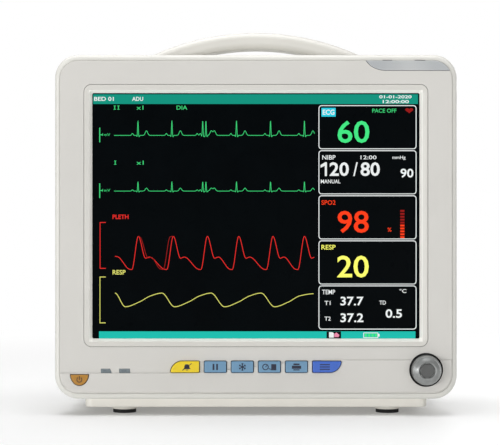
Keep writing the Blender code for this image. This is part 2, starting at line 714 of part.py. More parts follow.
def make_handle():
    rise = HANDLE_SEAT_Z - HANDLE_CENTRE_Z
    outer_deg = math.degrees(math.asin(rise / HANDLE_OUTER_RADIUS))
    inner_deg = math.degrees(math.asin(rise / HANDLE_INNER_RADIUS))
    outline = arc(0, 0, HANDLE_OUTER_RADIUS, outer_deg, 180 - outer_deg, HANDLE_STEPS)
    outline += arc(0, 0, HANDLE_INNER_RADIUS, 180 - inner_deg, inner_deg, HANDLE_STEPS)
    narrow = grown(outline, -HANDLE_EDGE)
    middling = grown(outline, -0.3 * HANDLE_EDGE)
    sections = (
        (HANDLE_FRONT_Y, narrow),
        (HANDLE_FRONT_Y + 0.3 * HANDLE_EDGE, middling),
        (HANDLE_FRONT_Y + HANDLE_EDGE, outline),
        (HANDLE_BACK_Y - HANDLE_EDGE, outline),
        (HANDLE_BACK_Y - 0.3 * HANDLE_EDGE, middling),
        (HANDLE_BACK_Y, narrow),
    )
    stacked("carrying_handle", "Y", sections, "handle_white", (0, 0, HANDLE_CENTRE_Z))


def make_base():
    outline = rounded_outline(-BASE_HALF_WIDTH, BASE_HALF_WIDTH, *BASE_Y, BASE_CORNER, 4)
    sections = ((BASE_BOTTOM, grown(outline, -1 * MM)), (BASE_BOTTOM + 1 * MM, outline), (BASE_TOP, outline))
    base = stacked("base_tray", "Z", sections, "base_white")
    below = BASE_BOTTOM - WALL
    insert_top = BASE_BOTTOM + INSERT_DEPTH
    middle_y = sum(BASE_Y) / 2
    across, along = INSERT_HALF_SPACING
    for i, (x, y) in enumerate(((-across, -along), (across, -along), (-across, along), (across, along))):
        place = (x, middle_y + y, 0)
        boolean(base, rod(f"cut_insert_{i}", "Z", below, insert_top, INSERT_RADIUS, 12, location=place))


def make_feet():
    holder = (
        (PAD_HEIGHT + GAP, 0),
        (PAD_HEIGHT + GAP, FOOT_LOW_RADIUS),
        (BASE_BOTTOM - GAP, FOOT_TOP_RADIUS),
        (BASE_BOTTOM - GAP, 0),
    )
    edge = 0.4 * MM
    pad = ((0, 0), (0, PAD_RADIUS - edge), (edge, PAD_RADIUS), (PAD_HEIGHT, PAD_RADIUS), (PAD_HEIGHT, 0))
    for side, x in (("left", -FOOT_X), ("right", FOOT_X)):
        for row, y in zip(("front", "rear"), FOOT_ROWS_Y):
            turned(f"foot_holder_{row}_{side}", "Z", holder, 20, "base_white", (x, y, 0))
            turned(f"foot_pad_{row}_{side}", "Z", pad, 20, "rubber_black", (x, y, 0))


def make_socket_panel():
    panel = block(
        "socket_panel",
        PANEL_X,
        (PANEL_OPENING_Y[0] - PANEL_LAP, PANEL_OPENING_Y[1] + PANEL_LAP),
        (PANEL_OPENING_Z[0] - PANEL_LAP, PANEL_OPENING_Z[1] + PANEL_LAP),
        "plate_grey",
    )
    colours = ("socket_green", "socket_blue", "socket_brown", "socket_brown", "socket_black")
    for (name, y, z, flange, neck, bore), finish in zip(SOCKETS_MM, colours):
        place = (0, y * MM, z * MM)
        through = (PANEL_X[0] - WALL, PANEL_X[1] + WALL)
        boolean(panel, rod(f"cut_{name}", "X", *through, neck * MM + GAP, 16, location=place))
        profile = (
            (SOCKET_INNER_X, 0),
            (SOCKET_INNER_X, neck * MM),
            (SOCKET_FLANGE_X, neck * MM),
            (SOCKET_FLANGE_X, flange * MM),
            (SOCKET_OUTER_X + 1 * MM, flange * MM),
            (SOCKET_OUTER_X, flange * MM - 1 * MM),
            (SOCKET_OUTER_X, bore * MM),
            (SOCKET_OUTER_X + 14 * MM, bore * MM),
            (SOCKET_OUTER_X + 14 * MM, 0),
        )
        turned(name, "X", profile, 16, finish, place)


def hinged_door_outline(height):
    """A door's side view, with a round barrel about its hinge at the foot; the height is from that hinge."""
    half = DOOR_THICKNESS / 2
    return arc(0, 0, half, 180, 360, 8) + [(half, height), (-half, height)]


def make_recorder():
    inner_y = (RECORDER_Y[0] + 0.5 * MM, RECORDER_Y[1] - 0.5 * MM)
    outer_y = (RECORDER_Y[0] - WALL, RECORDER_Y[1] + WALL)
    outer_z = (RECORDER_Z[0] - WALL, RECORDER_Z[1] + WALL)
    frame = block("recorder_frame", (RECORDER_INNER_X, RECORDER_MOUTH_X), outer_y, outer_z, "recorder_grey")
    hollow = block("cut_recorder_bay", (RECORDER_INNER_X + WALL, SIDE_X), RECORDER_Y, RECORDER_Z)
    boolean(frame, hollow)
    block(
        "print_head",
        (126 * MM, SIDE_X),
        inner_y,
        (RECORDER_DOOR_TOP + 2 * MM, RECORDER_Z[1] - 0.5 * MM),
        "recorder_grey",
    )
    hinge_x = SIDE_X - DOOR_THICKNESS / 2
    hinge = (hinge_x, (RECORDER_Y[0] + RECORDER_Y[1]) / 2, RECORDER_HINGE_Z)
    half_length = (inner_y[1] - inner_y[0]) / 2
    side_view = hinged_door_outline(RECORDER_DOOR_TOP - RECORDER_HINGE_Z)
    door = prism("recorder_door", "Y", side_view, -half_length, half_length, "case_white", hinge)
    lug_x = (PLATEN_X - 3 * MM, hinge_x)
    lug_z = (PLATEN_Z - 3 * MM, PLATEN_Z + 3 * MM)
    for i, y in enumerate((ROLL_Y[0] - 3 * MM, ROLL_Y[1])):
        lug = block(f"lug_{i}", lug_x, (y, y + 3 * MM), lug_z)
        boolean(door, lug, "UNION")
    middle_y = (ROLL_Y[0] + ROLL_Y[1]) / 2
    platen_place = (PLATEN_X, middle_y, PLATEN_Z)
    bearing_radius = PLATEN_PIN_RADIUS + GAP
    bearings = rod("cut_bearings", "Y", -half_length, half_length, bearing_radius, 12, location=platen_place)
    boolean(door, bearings)
    latch_hole = block(
        "cut_latch",
        (SIDE_X - 2 * DOOR_THICKNESS, SIDE_X + WALL),
        (LATCH_Y[0] - GAP, LATCH_Y[1] + GAP),
        (LATCH_Z[0] - GAP, LATCH_Z[1] + GAP),
    )
    boolean(door, latch_hole)
    latch_place = (SIDE_X, sum(LATCH_Y) / 2, sum(LATCH_Z) / 2)
    cap = centred_outline((LATCH_Y[1] - LATCH_Y[0]) / 2, (LATCH_Z[1] - LATCH_Z[0]) / 2, 1.5 * MM, 3)
    flange = grown(cap, 1.2 * MM)
    behind_door = -DOOR_THICKNESS - GAP
    sections = (
        (behind_door - 1.2 * MM, flange),
        (behind_door, flange),
        (behind_door, cap),
        (1.2 * MM, cap),
        (1.6 * MM, grown(cap, -0.4 * MM)),
    )
    stacked("recorder_latch", "X", sections, "recorder_grey", latch_place)
    half_roll = (ROLL_Y[1] - ROLL_Y[0]) / 2
    roll_place = (ROLL_CENTRE_X, middle_y, ROLL_CENTRE_Z)
    roll = (
        (-half_roll, ROLL_CORE_RADIUS),
        (-half_roll, ROLL_RADIUS),
        (half_roll, ROLL_RADIUS),
        (half_roll, ROLL_CORE_RADIUS),
    )
    turned("paper_roll", "Y", roll, 24, "paper_white", roll_place, is_ring=True)
    half_bay = (RECORDER_Y[1] - RECORDER_Y[0]) / 2 - GAP
    rod("paper_spindle", "Y", -half_bay, half_bay, SPINDLE_RADIUS, 16, "recorder_grey", roll_place)
    half_platen = half_roll - GAP
    pin_end = half_platen + 2.6 * MM
    platen = (
        (-pin_end, 0),
        (-pin_end, PLATEN_PIN_RADIUS),
        (-half_platen, PLATEN_PIN_RADIUS),
        (-half_platen, PLATEN_RADIUS),
        (half_platen, PLATEN_RADIUS),
        (half_platen, PLATEN_PIN_RADIUS),
        (pin_end, PLATEN_PIN_RADIUS),
        (pin_end, 0),
    )
    turned("platen_roller", "Y", platen, 16, "rubber_black", platen_place)


def make_battery():
    inset = 0.5 * MM
    bay = block(
        "battery_bay",
        (BATTERY_X[0] - WALL, BATTERY_X[1] + WALL),
        (BATTERY_BAY_FRONT_Y, BACK_WALL_INNER_Y - GAP),
        (BATTERY_Z[0] - WALL, BATTERY_Z[1] + WALL),
        "recorder_grey",
    )
    hollow = block("cut_battery_bay", BATTERY_X, (BATTERY_BAY_FRONT_Y + WALL, BACK_Y), BATTERY_Z)
    boolean(bay, hollow)
    block(
        "battery_pack",
        (BATTERY_X[0] + inset, BATTERY_X[1] - inset),
        (BATTERY_BAY_FRONT_Y + WALL + inset, 67 * MM),
        (BATTERY_Z[0] + inset, BATTERY_Z[1] - inset),
        "battery_wrap",
        corner=3 * MM,
    )
    hinge_y = BACK_Y - DOOR_THICKNESS / 2
    side_view = hinged_door_outline(BATTERY_Z[1] - inset - BATTERY_HINGE_Z)
    half_length = (BATTERY_X[1] - BATTERY_X[0]) / 2 - inset
    place = (sum(BATTERY_X) / 2, hinge_y, BATTERY_HINGE_Z)
    door = prism("battery_door", "X", side_view, -half_length, half_length, "case_white", place)
    grip = block(
        "cut_door_grip",
        (place[0] - 10 * MM, place[0] + 10 * MM),
        (BACK_Y - 1.4 * MM, BACK_Y + WALL),
        (BATTERY_Z[1] - 7 * MM, BATTERY_Z[1] - 3 * MM),
    )
    boolean(door, grip)


def make_port(name, x, halves, mouth_depth, back_y, finish):
    """A rectangular socket whose flange sits on the plate; halves are (across, up) of flange, body and mouth."""
    place = (x, 0, PORT_Z)
    flange, body, mouth = [centred_outline(across, up, PORT_CORNER, 2) for across, up in halves]
    flange_y = SOCKET_PLATE_Y[1] + GAP
    sections = ((back_y, body), (flange_y, body), (flange_y, flange), (BACK_Y - 2 * GAP, flange))
    port = stacked(name, "Y", sections, finish, place)
    boolean(port, prism(f"cut_{name}", "Y", mouth, BACK_Y - mouth_depth, BACK_Y + WALL, location=place))
    return port


def make_back_ports():
    plate = block(
        "port_plate",
        (SOCKET_PLATE_X[0] - WALL, SOCKET_PLATE_X[1] + WALL),
        SOCKET_PLATE_Y,
        (SOCKET_PLATE_Z[0] - WALL / 2, SOCKET_PLATE_Z[1] + WALL),
        "sheet_steel",
    )
    through = (SOCKET_PLATE_Y[0] - WALL, SOCKET_PLATE_Y[1] + WALL)
    inlet = make_port("mains_inlet", INLET_X, INLET_HALVES, 16 * MM, 50 * MM, "socket_black")
    network = make_port("network_port", NETWORK_X, NETWORK_HALVES, 13 * MM, 56 * MM, "plate_grey")
    for port, (half_width, half_height) in ((inlet, INLET_HALVES[1]), (network, NETWORK_HALVES[1])):
        x = port.location.x
        hole = block(
            f"cut_for_{port.name}",
            (x - half_width - GAP, x + half_width + GAP),
            through,
            (PORT_Z - half_height - GAP, PORT_Z + half_height + GAP),
        )
        boolean(plate, hole)
    for i, (x, z) in enumerate(BLADES_MM):
        blade_x = INLET_X + x * MM
        blade_z = PORT_Z + z * MM
        blade = block(
            f"inlet_blade_{i}",
            (blade_x - 1 * MM, blade_x + 1 * MM),
            BLADE_Y,
            (blade_z - 2 * MM, blade_z + 2 * MM),
        )
        boolean(inlet, blade, "UNION")
    ground_place = (GROUND_X, 0, PORT_Z)
    boolean(plate, rod("cut_for_ground", "Y", *through, STUD_RADIUS + GAP, 16, location=ground_place))
    collar_back = SOCKET_PLATE_Y[1] + GAP
    collar_front = collar_back + STUD_RADIUS / 2
    stud = (
        (STUD_END_Y, 0),
        (STUD_END_Y, STUD_RADIUS),
        (collar_back, STUD_RADIUS),
        (collar_back, 2 * STUD_RADIUS),
        (collar_front, 2 * STUD_RADIUS),
        (collar_front, STUD_RADIUS),
        (BACK_Y - GAP, STUD_RADIUS),
        (BACK_Y - GAP, 0),
    )
    turned("ground_stud", "Y", stud, 18, "steel", ground_place)


def make_inside():
    board = block("main_board", *in_metres(MAIN_BOARD_MM), "board_green")
    back = MAIN_BOARD_MM[1][1] * MM
    for i, (across, up, height) in enumerate(BOARD_PARTS_MM):
        x_range, z_range = in_metres((across, up))
        component = block(f"board_part_{i}", x_range, (back - 1 * MM, back + height * MM), z_range)
        boolean(board, component, "UNION")
    block("power_supply", *in_metres(POWER_SUPPLY_MM), "sheet_steel", corner=2 * MM)
    turned("cuff_pump", "X", in_metres(PUMP_PROFILE_MM), 20, "steel", metre_point(PUMP_CENTRE_MM))
    turned("speaker", "X", in_metres(SPEAKER_PROFILE_MM), 20, "rubber_black", metre_point(SPEAKER_CENTRE_MM))


def main():
    clear_scene()
    make_rear_cover()
    make_back_screws()
    make_front_bezel()
    make_screen()
    make_alarm_lamp()
    make_keys()
    make_control()
    make_handle()
    make_base()
    make_feet()
    make_socket_panel()
    make_recorder()
    make_battery()
    make_back_ports()
    make_inside()


main()
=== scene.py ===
"""Looks of the bedside patient monitor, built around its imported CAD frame.

+Z is up, X runs to the viewer's right and the display faces -Y. Shapes and finishes are given in
millimetres, and turned into metres where a vertex or a shader value is set. The camera, the floor
and the lights are in metres.
"""

import math
from collections import namedtuple

import bmesh
import bpy
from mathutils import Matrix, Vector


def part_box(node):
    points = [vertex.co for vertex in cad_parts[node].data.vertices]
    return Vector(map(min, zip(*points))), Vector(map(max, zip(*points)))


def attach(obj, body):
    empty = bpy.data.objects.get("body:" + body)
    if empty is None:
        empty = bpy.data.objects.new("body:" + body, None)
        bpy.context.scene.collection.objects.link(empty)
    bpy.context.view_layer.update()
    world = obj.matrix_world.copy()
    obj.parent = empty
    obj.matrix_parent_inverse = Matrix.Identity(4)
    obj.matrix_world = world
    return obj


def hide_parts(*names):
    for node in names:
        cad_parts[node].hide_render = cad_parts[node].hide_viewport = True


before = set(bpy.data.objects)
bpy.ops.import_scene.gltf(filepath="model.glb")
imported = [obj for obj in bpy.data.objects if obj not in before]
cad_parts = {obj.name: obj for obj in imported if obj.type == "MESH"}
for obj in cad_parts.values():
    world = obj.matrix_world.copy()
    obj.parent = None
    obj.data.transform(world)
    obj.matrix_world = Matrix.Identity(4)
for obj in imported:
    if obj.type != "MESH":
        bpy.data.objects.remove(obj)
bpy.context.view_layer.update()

MM = 0.001
CASE = "case"


Point = namedtuple("Point", "x y z")


def in_millimetres(vector):
    return Point(*(value / MM for value in vector))


def low(node):
    """The lowest corner of a CAD node's box at rest."""
    return in_millimetres(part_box(node)[0])


def high(node):
    return in_millimetres(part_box(node)[1])


def middle(node):
    lower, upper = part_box(node)
    return in_millimetres((lower + upper) / 2)


def off_axis(node, axis):
    """The middle of a CAD node's box, but with 0 along this axis."""
    return [0 if name == axis else value for name, value in zip("XYZ", middle(node))]


# ---------------- camera

EYE_HEIGHT = 0.1445
EYE_DISTANCE = 1.35
FRAME_WIDTH_AT_BEZEL = 0.3744
SENSOR_WIDTH = 36

camera_data = bpy.data.cameras.new("camera")
camera_data.sensor_width = SENSOR_WIDTH
camera_data.lens = SENSOR_WIDTH * EYE_DISTANCE / FRAME_WIDTH_AT_BEZEL
camera_data.shift_x = -0.0118
camera_data.shift_y = 0.0014
camera = bpy.data.objects.new("camera", camera_data)
bpy.context.scene.collection.objects.link(camera)
camera.location = (0, low("front_bezel").y * MM - EYE_DISTANCE, EYE_HEIGHT)
camera.rotation_euler = (math.radians(90), 0, 0)
bpy.context.scene.camera = camera
bpy.context.scene.view_settings.view_transform = "Standard"


# ---------------- materials


def linear(channel):
    value = channel / 255
    return value / 12.92 if value <= 0.04045 else ((value + 0.055) / 1.055) ** 2.4


def shade(red, green, blue):
    return (linear(red), linear(green), linear(blue), 1)


class Finish:
    """A node material, built up one effect at a time on a Principled shader."""

    def __init__(self, name, colour, roughness, metallic=0.0, specular=0.5):
        self.material = bpy.data.materials.new(name)
        self.material.use_nodes = True
        self.nodes = self.material.node_tree.nodes
        self.links = self.material.node_tree.links
        self.shader = self.nodes["Principled BSDF"]
        self.colour = colour
        self.roughness = roughness
        self.shader.inputs["Base Color"].default_value = colour
        self.shader.inputs["Roughness"].default_value = roughness
        self.shader.inputs["Metallic"].default_value = metallic
        self.shader.inputs["Specular IOR Level"].default_value = specular
        self.place = self.nodes.new("ShaderNodeTexCoord").outputs["Object"]
        self.bump = None

    def node(self, kind, inputs, **settings):
        """A new node with these settings; an input is given a value, or another node's output."""
        node = self.nodes.new(f"ShaderNode{kind}")
        for key, value in settings.items():
            setattr(node, key, value)
        for key, value in inputs.items():
            if isinstance(value, bpy.types.NodeSocket):
                self.links.new(value, node.inputs[key])
            else:
                node.inputs[key].default_value = value
        return node

    def noise(self, size, detail=2.0, stretch=(1, 1, 1)):
        """A noise whose spots are about this size."""
        place = self.node("Mapping", {"Scale": stretch, "Vector": self.place}).outputs[0]
        inputs = {"Scale": 1 / (size * MM), "Detail": detail, "Vector": place}
        return self.node("TexNoise", inputs).outputs["Fac"]

    def ranged(self, value, start, end, into_low, into_high):
        return self.node("MapRange", {0: value, 1: start, 2: end, 3: into_low, 4: into_high}).outputs[0]

    def tinted(self, value, other, start=0.35, end=0.65, most=1.0):
        """The base colour shifts towards another colour as the value goes from start to end."""
        base = self.shader.inputs["Base Color"]
        before = base.links[0].from_socket if base.is_linked else self.colour
        inputs = {"Factor": self.ranged(value, start, end, 0, most), "A": before, "B": other}
        self.links.new(self.node("Mix", inputs, data_type="RGBA").outputs["Result"], base)
        return self

    def mottled(self, size, spread):
        """A slight drift of tone across the surface."""
        darker = [channel * (1 - spread) for channel in self.colour[:3]] + [1]
        return self.tinted(self.noise(size), darker)

    def uneven_gloss(self, size, spread, stretch=(1, 1, 1)):
        value = self.noise(size, 3.0, stretch)
        rough = self.ranged(value, 0.3, 0.7, self.roughness - spread, self.roughness + spread)
        self.links.new(rough, self.shader.inputs["Roughness"])
        return self

    def relief(self, value, depth):
        inputs = {"Distance": depth * MM, "Height": value}
        if self.bump:
            inputs["Normal"] = self.bump
        self.bump = self.node("Bump", inputs).outputs[0]
        self.links.new(self.bump, self.shader.inputs["Normal"])
        return self

    def grained(self, size, depth, stretch=(1, 1, 1)):
        return self.relief(self.noise(size, 1.0, stretch), depth)

    def ribbed(self, pitch, direction, depth):
        inputs = {"Scale": 2 * math.pi / (20 * pitch * MM), "Distortion": 0, "Vector": self.place}
        waves = self.node("TexWave", inputs, bands_direction=direction).outputs["Fac"]
        return self.relief(waves, depth)

    def painted_edge_highlight(self, radius, other, most):
        """Edges lightened towards another colour as a painted highlight, where a rounded normal differs from
        the real one.
        """
        rounded = self.node("Bevel", {"Radius": radius * MM}, samples=6).outputs[0]
        normal = self.node("NewGeometry", {}).outputs["Normal"]
        alike = self.node("VectorMath", {0: rounded, 1: normal}, operation="DOT_PRODUCT").outputs["Value"]
        return self.tinted(alike, other, 1.0, 0.8, most)

    def glowing(self, colour, strength=1.0):
        self.shader.inputs["Emission Color"].default_value = colour
        self.shader.inputs["Emission Strength"].default_value = strength
        return self


def textured(name, colour, roughness, tone, gloss, grain, **options):
    """A finish with a drift of tone, an uneven gloss and a grain, each as (size, amount)."""
    finish = Finish(name, colour, roughness, **options)
    return finish.mottled(*tone).uneven_gloss(*gloss).grained(*grain)


def moulded(name, colour, roughness=0.42, grain=0.45, depth=0.02):
    """Injection-moulded plastic with a fine spark-eroded grain."""
    return textured(name, colour, roughness, (45, 0.025), (8, 0.05), (grain, depth))


def metal(name, colour, roughness, grain=0.3, depth=0.004, stretch=(1, 1, 12)):
    """Metal whose gloss and grain may be drawn out along an axis."""
    effects = ((12, 0.08), (3, 0.08, stretch), (grain, depth, stretch))
    return textured(name, colour, roughness, *effects, metallic=1.0).material


def ink(name, colour):
    return textured(f"print_{name}", colour, 0.5, (1, 0.1), (1, 0.05), (0.1, 0.002)).material


def key_material(name, colour):
    # Key caps get a painted highlight along their edges, in a paler shade of their own colour.
    highlight_colour = [min(1, channel * 1.25 + 0.02) for channel in colour[:3]] + [1]
    return moulded(name, colour, 0.38, 0.3, 0.01).painted_edge_highlight(0.4, highlight_colour, 0.2).material


def lamp_lens():
    """Ribbed grey lens, palest in one spot along its length."""
    finish = Finish("lamp_lens", shade(166, 169, 171), 0.16).mottled(14, 0.06)
    across = finish.node("SeparateXYZ", {0: finish.place}).outputs["X"]
    finish.tinted(across, shade(181, 183, 183), 94 * MM, 113 * MM, 0.8)
    finish.tinted(across, shade(166, 169, 171), 117 * MM, 134 * MM, 0.9)
    return finish.uneven_gloss(5, 0.04).ribbed(1.6, "X", 0.03).material


# The case and bezel whites get a painted highlight along their edges, in a paler white.
WHITE = moulded("moulded_white", shade(208, 207, 201)).painted_edge_highlight(0.6, shade(222, 221, 216), 0.5).material
BEZEL_WHITE = moulded("bezel_white", shade(196, 194, 189)).painted_edge_highlight(0.6, shade(214, 212, 208), 0.5).material
HANDLE_WHITE = moulded("handle_white", shade(209, 207, 201), 0.4).material
# The base moulding is painted paler than the case, a painted brightening that makes up for the shade under
# the case's overhang.
BASE_WHITE = moulded("base_white", shade(222, 219, 211), 0.46, 0.6).material
SURROUND_FINISH = moulded("surround_white", shade(199, 197, 191), 0.36, 0.35, 0.012)
SEAL_GREY = moulded("seal_grey", shade(176, 174, 167), 0.6, 0.3, 0.01).material
PANEL_GREY = moulded("panel_grey", shade(176, 178, 177), 0.45).material
BAY_GREY = moulded("bay_grey", shade(148, 150, 150), 0.48).material
SOCKET_BLACK = moulded("socket_black", shade(40, 40, 42), 0.45, 0.3, 0.01).material
STEEL = metal("turned_steel", shade(190, 190, 192), 0.3)
SHEET_STEEL = metal("sheet_steel", shade(182, 184, 186), 0.42, 0.5, 0.006, (1, 1, 1))
BRASS = metal("brass", shade(196, 164, 90), 0.3)
LENS = lamp_lens()
DISPLAY_BLACK = textured(
    "display_black", shade(3, 6, 8), 0.3, (30, 0.2), (10, 0.04), (0.06, 0.001), specular=0.025
).material
RUBBER = textured("rubber", shade(26, 26, 27), 0.8, (6, 0.3), (2, 0.08), (0.3, 0.02), specular=0.3).material
BOARD = textured("board_green", shade(28, 92, 58), 0.45, (3, 0.25), (4, 0.1), (0.8, 0.02)).material
PAPER = textured(
    "paper", shade(236, 236, 232), 0.85, (4, 0.03), (2, 0.05), (0.08, 0.006), specular=0.2
).material
SMOKED = textured("smoked_window", shade(52, 56, 60), 0.12, (12, 0.1), (6, 0.03), (2, 0.002)).material
INK = shade(16, 22, 48)


# ---------------- outlines


MITRE_LIMIT = 0.6
SMOOTH_DEG = 35
SHARP_DEG = 50


def arc(centre_u, centre_v, radius, start_deg, end_deg, steps):
    angles = [math.radians(start_deg + (end_deg - start_deg) * i / steps) for i in range(steps + 1)]
    return [(centre_u + radius * math.cos(angle), centre_v + radius * math.sin(angle)) for angle in angles]


def rectangle(left, right, bottom, top):
    return [(left, bottom), (right, bottom), (right, top), (left, top)]


def rounded_outline(left, right, bottom, top, corner, steps=10):
    points = arc(right - corner, bottom + corner, corner, -90, 0, steps)
    points += arc(right - corner, top - corner, corner, 0, 90, steps)
    points += arc(left + corner, top - corner, corner, 90, 180, steps)
    return points + arc(left + corner, bottom + corner, corner, 180, 270, steps)


def centred_outline(half_width, half_height, corner, steps=10):
    return rounded_outline(-half_width, half_width, -half_height, half_height, corner, steps)


def grown(outline, distance):
    """The anticlockwise outline moved outwards by a distance; a negative one moves it inwards."""
    moved = []
    for i, (u, v) in enumerate(outline):
        before = outline[i - 1]
        after = outline[(i + 1) % len(outline)]
        first = (u - before[0], v - before[1])
        second = (after[0] - u, after[1] - v)
        first_length = math.hypot(*first)
        second_length = math.hypot(*second)
        normal_u = first[1] / first_length + second[1] / second_length
        normal_v = -first[0] / first_length - second[0] / second_length
        reach = 2 * distance / max(normal_u**2 + normal_v**2, MITRE_LIMIT)
        moved.append((u + reach * normal_u, v + reach * normal_v))
    return moved


def pulled_in(outline, distance):
    """The outline drawn in towards the middle of its box, by this distance at the ends of both widths."""
    scales = []
    for values in zip(*outline):
        width = max(values) - min(values)
        scales.append(((max(values) + min(values)) / 2, 1 - 2 * distance / width))
    return [[centre + (x - centre) * scale for x, (centre, scale) in zip(point, scales)] for point in outline]


def quarter_round(start, radius, depth, steps=5):
    """(inset, along) pairs that round an edge, from its face at start to its side; depth may be negative."""
    angles = [math.radians(90 * i / steps) for i in range(steps + 1)]
    return [(radius * (1 - math.sin(angle)), start + depth * (1 - math.cos(angle))) for angle in angles]


def far_round(end, radius, depth, steps=5):
    """The pairs that round the far edge, from its side to its face at end."""
    return quarter_round(end, radius, -depth, steps)[::-1]


def rims(outline, pairs):
    """Sections of one outline, drawn in by each pair's inset."""
    return [(along, grown(outline, -inset)) for inset, along in pairs]


def rim_profile(radius, pairs):
    """The profile of a turned piece's rounded edge."""
    return [(along, radius - inset) for inset, along in pairs]


def eased(t):
    return t * t * (3 - 2 * t)


def spread(count, pitch):
    """Evenly spaced places, centred on 0."""
    return [(i - (count - 1) / 2) * pitch for i in range(count)]


# ---------------- solids


def add_ring(bm, axis, outline, along, place=(0, 0, 0)):
    """Adds an outline's vertices across an axis, and returns them."""
    ring = []
    for u, v in outline:
        point = {"X": (along, u, v), "Y": (u, along, v), "Z": (u, v, along)}[axis]
        ring.append(bm.verts.new([(a + b) * MM for a, b in zip(point, place)]))
    return ring


def skin(bm, rings, closes=False):
    """Adds the faces between neighbouring rings, and closes the last on the first or caps both ends.

    A ring that is one vertex repeated comes to a point, and needs no cap.
    """
    ends = [] if closes else [ring for ring in (rings[0], rings[-1]) if ring[0] is not ring[1]]
    faces = [bm.faces.new(ring) for ring in ends]
    for near, far in zip(rings, rings[1:] + rings[:1] if closes else rings[1:]):
        for i in range(len(near)):
            j = (i + 1) % len(near)
            faces.append(bm.faces.new(dict.fromkeys((near[i], near[j], far[j], far[i]))))
    bmesh.ops.recalc_face_normals(bm, faces=faces)


def stacked(bm, axis, sections, place=(0, 0, 0)):
    """Adds a closed solid through outlines of equal point counts; a section is (along, outline)."""
    skin(bm, [add_ring(bm, axis, outline, along, place) for along, outline in sections])


def prism(bm, axis, outline, start, end, place=(0, 0, 0)):
    stacked(bm, axis, ((start, outline), (end, outline)), place)


def turned(bm, axis, profile, segments=48, place=(0, 0, 0), is_ring=False):
    """Adds a turned solid from (along, radius) points; a ring's profile closes on itself."""
    rings = []
    for along, radius in profile:
        if radius:
            circle = arc(0, 0, radius, 0, 360, segments)[:-1]
            rings.append(add_ring(bm, axis, circle, along, place))
        else:
            rings.append(add_ring(bm, axis, [(0, 0)], along, place) * segments)
    skin(bm, rings, is_ring)


def block(bm, x_range, y_range, z_range, corner=0, axis="Z"):
    order = {"X": (y_range, z_range, x_range), "Y": (x_range, z_range, y_range)}
    across, up, along = order.get(axis, (x_range, y_range, z_range))
    outline = rounded_outline(*across, *up, corner, 6) if corner else rectangle(*across, *up)
    prism(bm, axis, outline, *along)


def rod(bm, axis, radius, start, end, segments, place):
    """Adds a plain round rod."""
    turned(bm, axis, ((start, 0), (start, radius), (end, radius), (end, 0)), segments, place)


def sleeve(bm, axis, inner, outer, start, end, segments, place):
    """Adds a plain round sleeve."""
    profile = ((start, inner), (start, outer), (end, outer), (end, inner))
    turned(bm, axis, profile, segments, place, is_ring=True)


def band(bm, axis, inner, outer, start, end, place=(0, 0, 0)):
    """Adds a closed band between two outlines of equal point counts."""
    corners = ((inner, start), (outer, start), (outer, end), (inner, end))
    skin(bm, [add_ring(bm, axis, outline, along, place) for outline, along in corners], closes=True)


def make(name, bm, material=None):
    mesh = bpy.data.meshes.new(name)
    bm.to_mesh(mesh)
    bm.free()
    obj = bpy.data.objects.new(name, mesh)
    bpy.context.scene.collection.objects.link(obj)
    if material:
        mesh.materials.append(material)
    return obj


def solid(name, shape, *sizes, material=None, **options):
    """One object from a single call of a shape function."""
    bm = bmesh.new()
    shape(bm, *sizes, **options)
    return make(name, bm, material)


def carve(target, *cutters, operation="DIFFERENCE"):
    """Cuts the objects out of the target for good, and removes them."""
    for cutter in cutters:
        modifier = target.modifiers.new("carve", "BOOLEAN")
        modifier.operation = operation
        modifier.solver = "EXACT"
        modifier.object = cutter
    graph = bpy.context.evaluated_depsgraph_get()
    mesh = bpy.data.meshes.new_from_object(target.evaluated_get(graph), depsgraph=graph)
    target.modifiers.clear()
    target.data = mesh
    for cutter in cutters:
        bpy.data.objects.remove(cutter)


def hang(obj, body, slot, *nodes):
    """Hangs a finished piece on its body, in place of any CAD nodes."""
    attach(obj, body)
    if nodes:
        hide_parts(*nodes)


def settle(obj, body, slot, *nodes, edge=0, angle=SMOOTH_DEG):
    """Smooths a piece, rounds its sharp edges and hangs it."""
    obj.data.shade_smooth()
    obj.data.set_sharp_from_angle(angle=math.radians(angle))
    if edge:
        bevel = obj.modifiers.new("edge", "BEVEL")
        bevel.width = edge * MM
        bevel.segments = 2
        bevel.limit_method = "ANGLE"
        bevel.angle_limit = math.radians(SHARP_DEG)
        bevel.use_clamp_overlap = True
    weighted = obj.modifiers.new("normals", "WEIGHTED_NORMAL")
    weighted.keep_sharp = True
    hang(obj, body, slot, *nodes)


# ---------------- rear cover

RIM_HALF_WIDTH = high("rear_cover").x
RIM_BOTTOM = low("rear_cover").z
RIM_TOP = high("rear_cover").z
RIM_FRONT_Y = low("rear_cover").y
BACK_Y = high("rear_cover").y
RIM_CORNER = 17.5
RIM_EDGE = 3.4
RIM_BACK_Y = -32
SHOULDER_Y = -22
BODY_HALF_WIDTH = 147
BODY_TOP = 262
TAPER_START_Y = 50
TAPER_IN = 15
TAPER_UP = 11.5
TAPER_DOWN = 18
TAPER_ROUND = 8
WALL = 3
COVER_EDGE = 0.35
SKIRT_HALF_WIDTH = 147.5
SKIRT_BOTTOM = 16.5
SKIRT_TOP = 266.9
WELL_HALF_WIDTH = 76
WELL_Y = (-20, 47)
WELL_FLOOR = 247
WELL_CORNER = 8
WELL_TOP = RIM_TOP + 5
OPENING_CORNER = 1.5
SOCKET_OPENING = ((-12, 38), (72, 216))
RECORDER_OPENING = ((-14, 46), (95, 180))
BATTERY_OPENING = ((40, 116), (32, 80))
BATTERY_CORNER = 0.4
PORT_OPENING = ((-114, -30), (34, 66))
VENT_COUNT = 11
VENT_PITCH = 9
VENT_WIDTH = 3
VENT_Z = (150, 205)
GRILLE_COUNT = 6
GRILLE_PITCH = 5
GRILLE_WIDTH = 2.2
GRILLE_Y = (-4, 30)
GRILLE_BOTTOM = 30
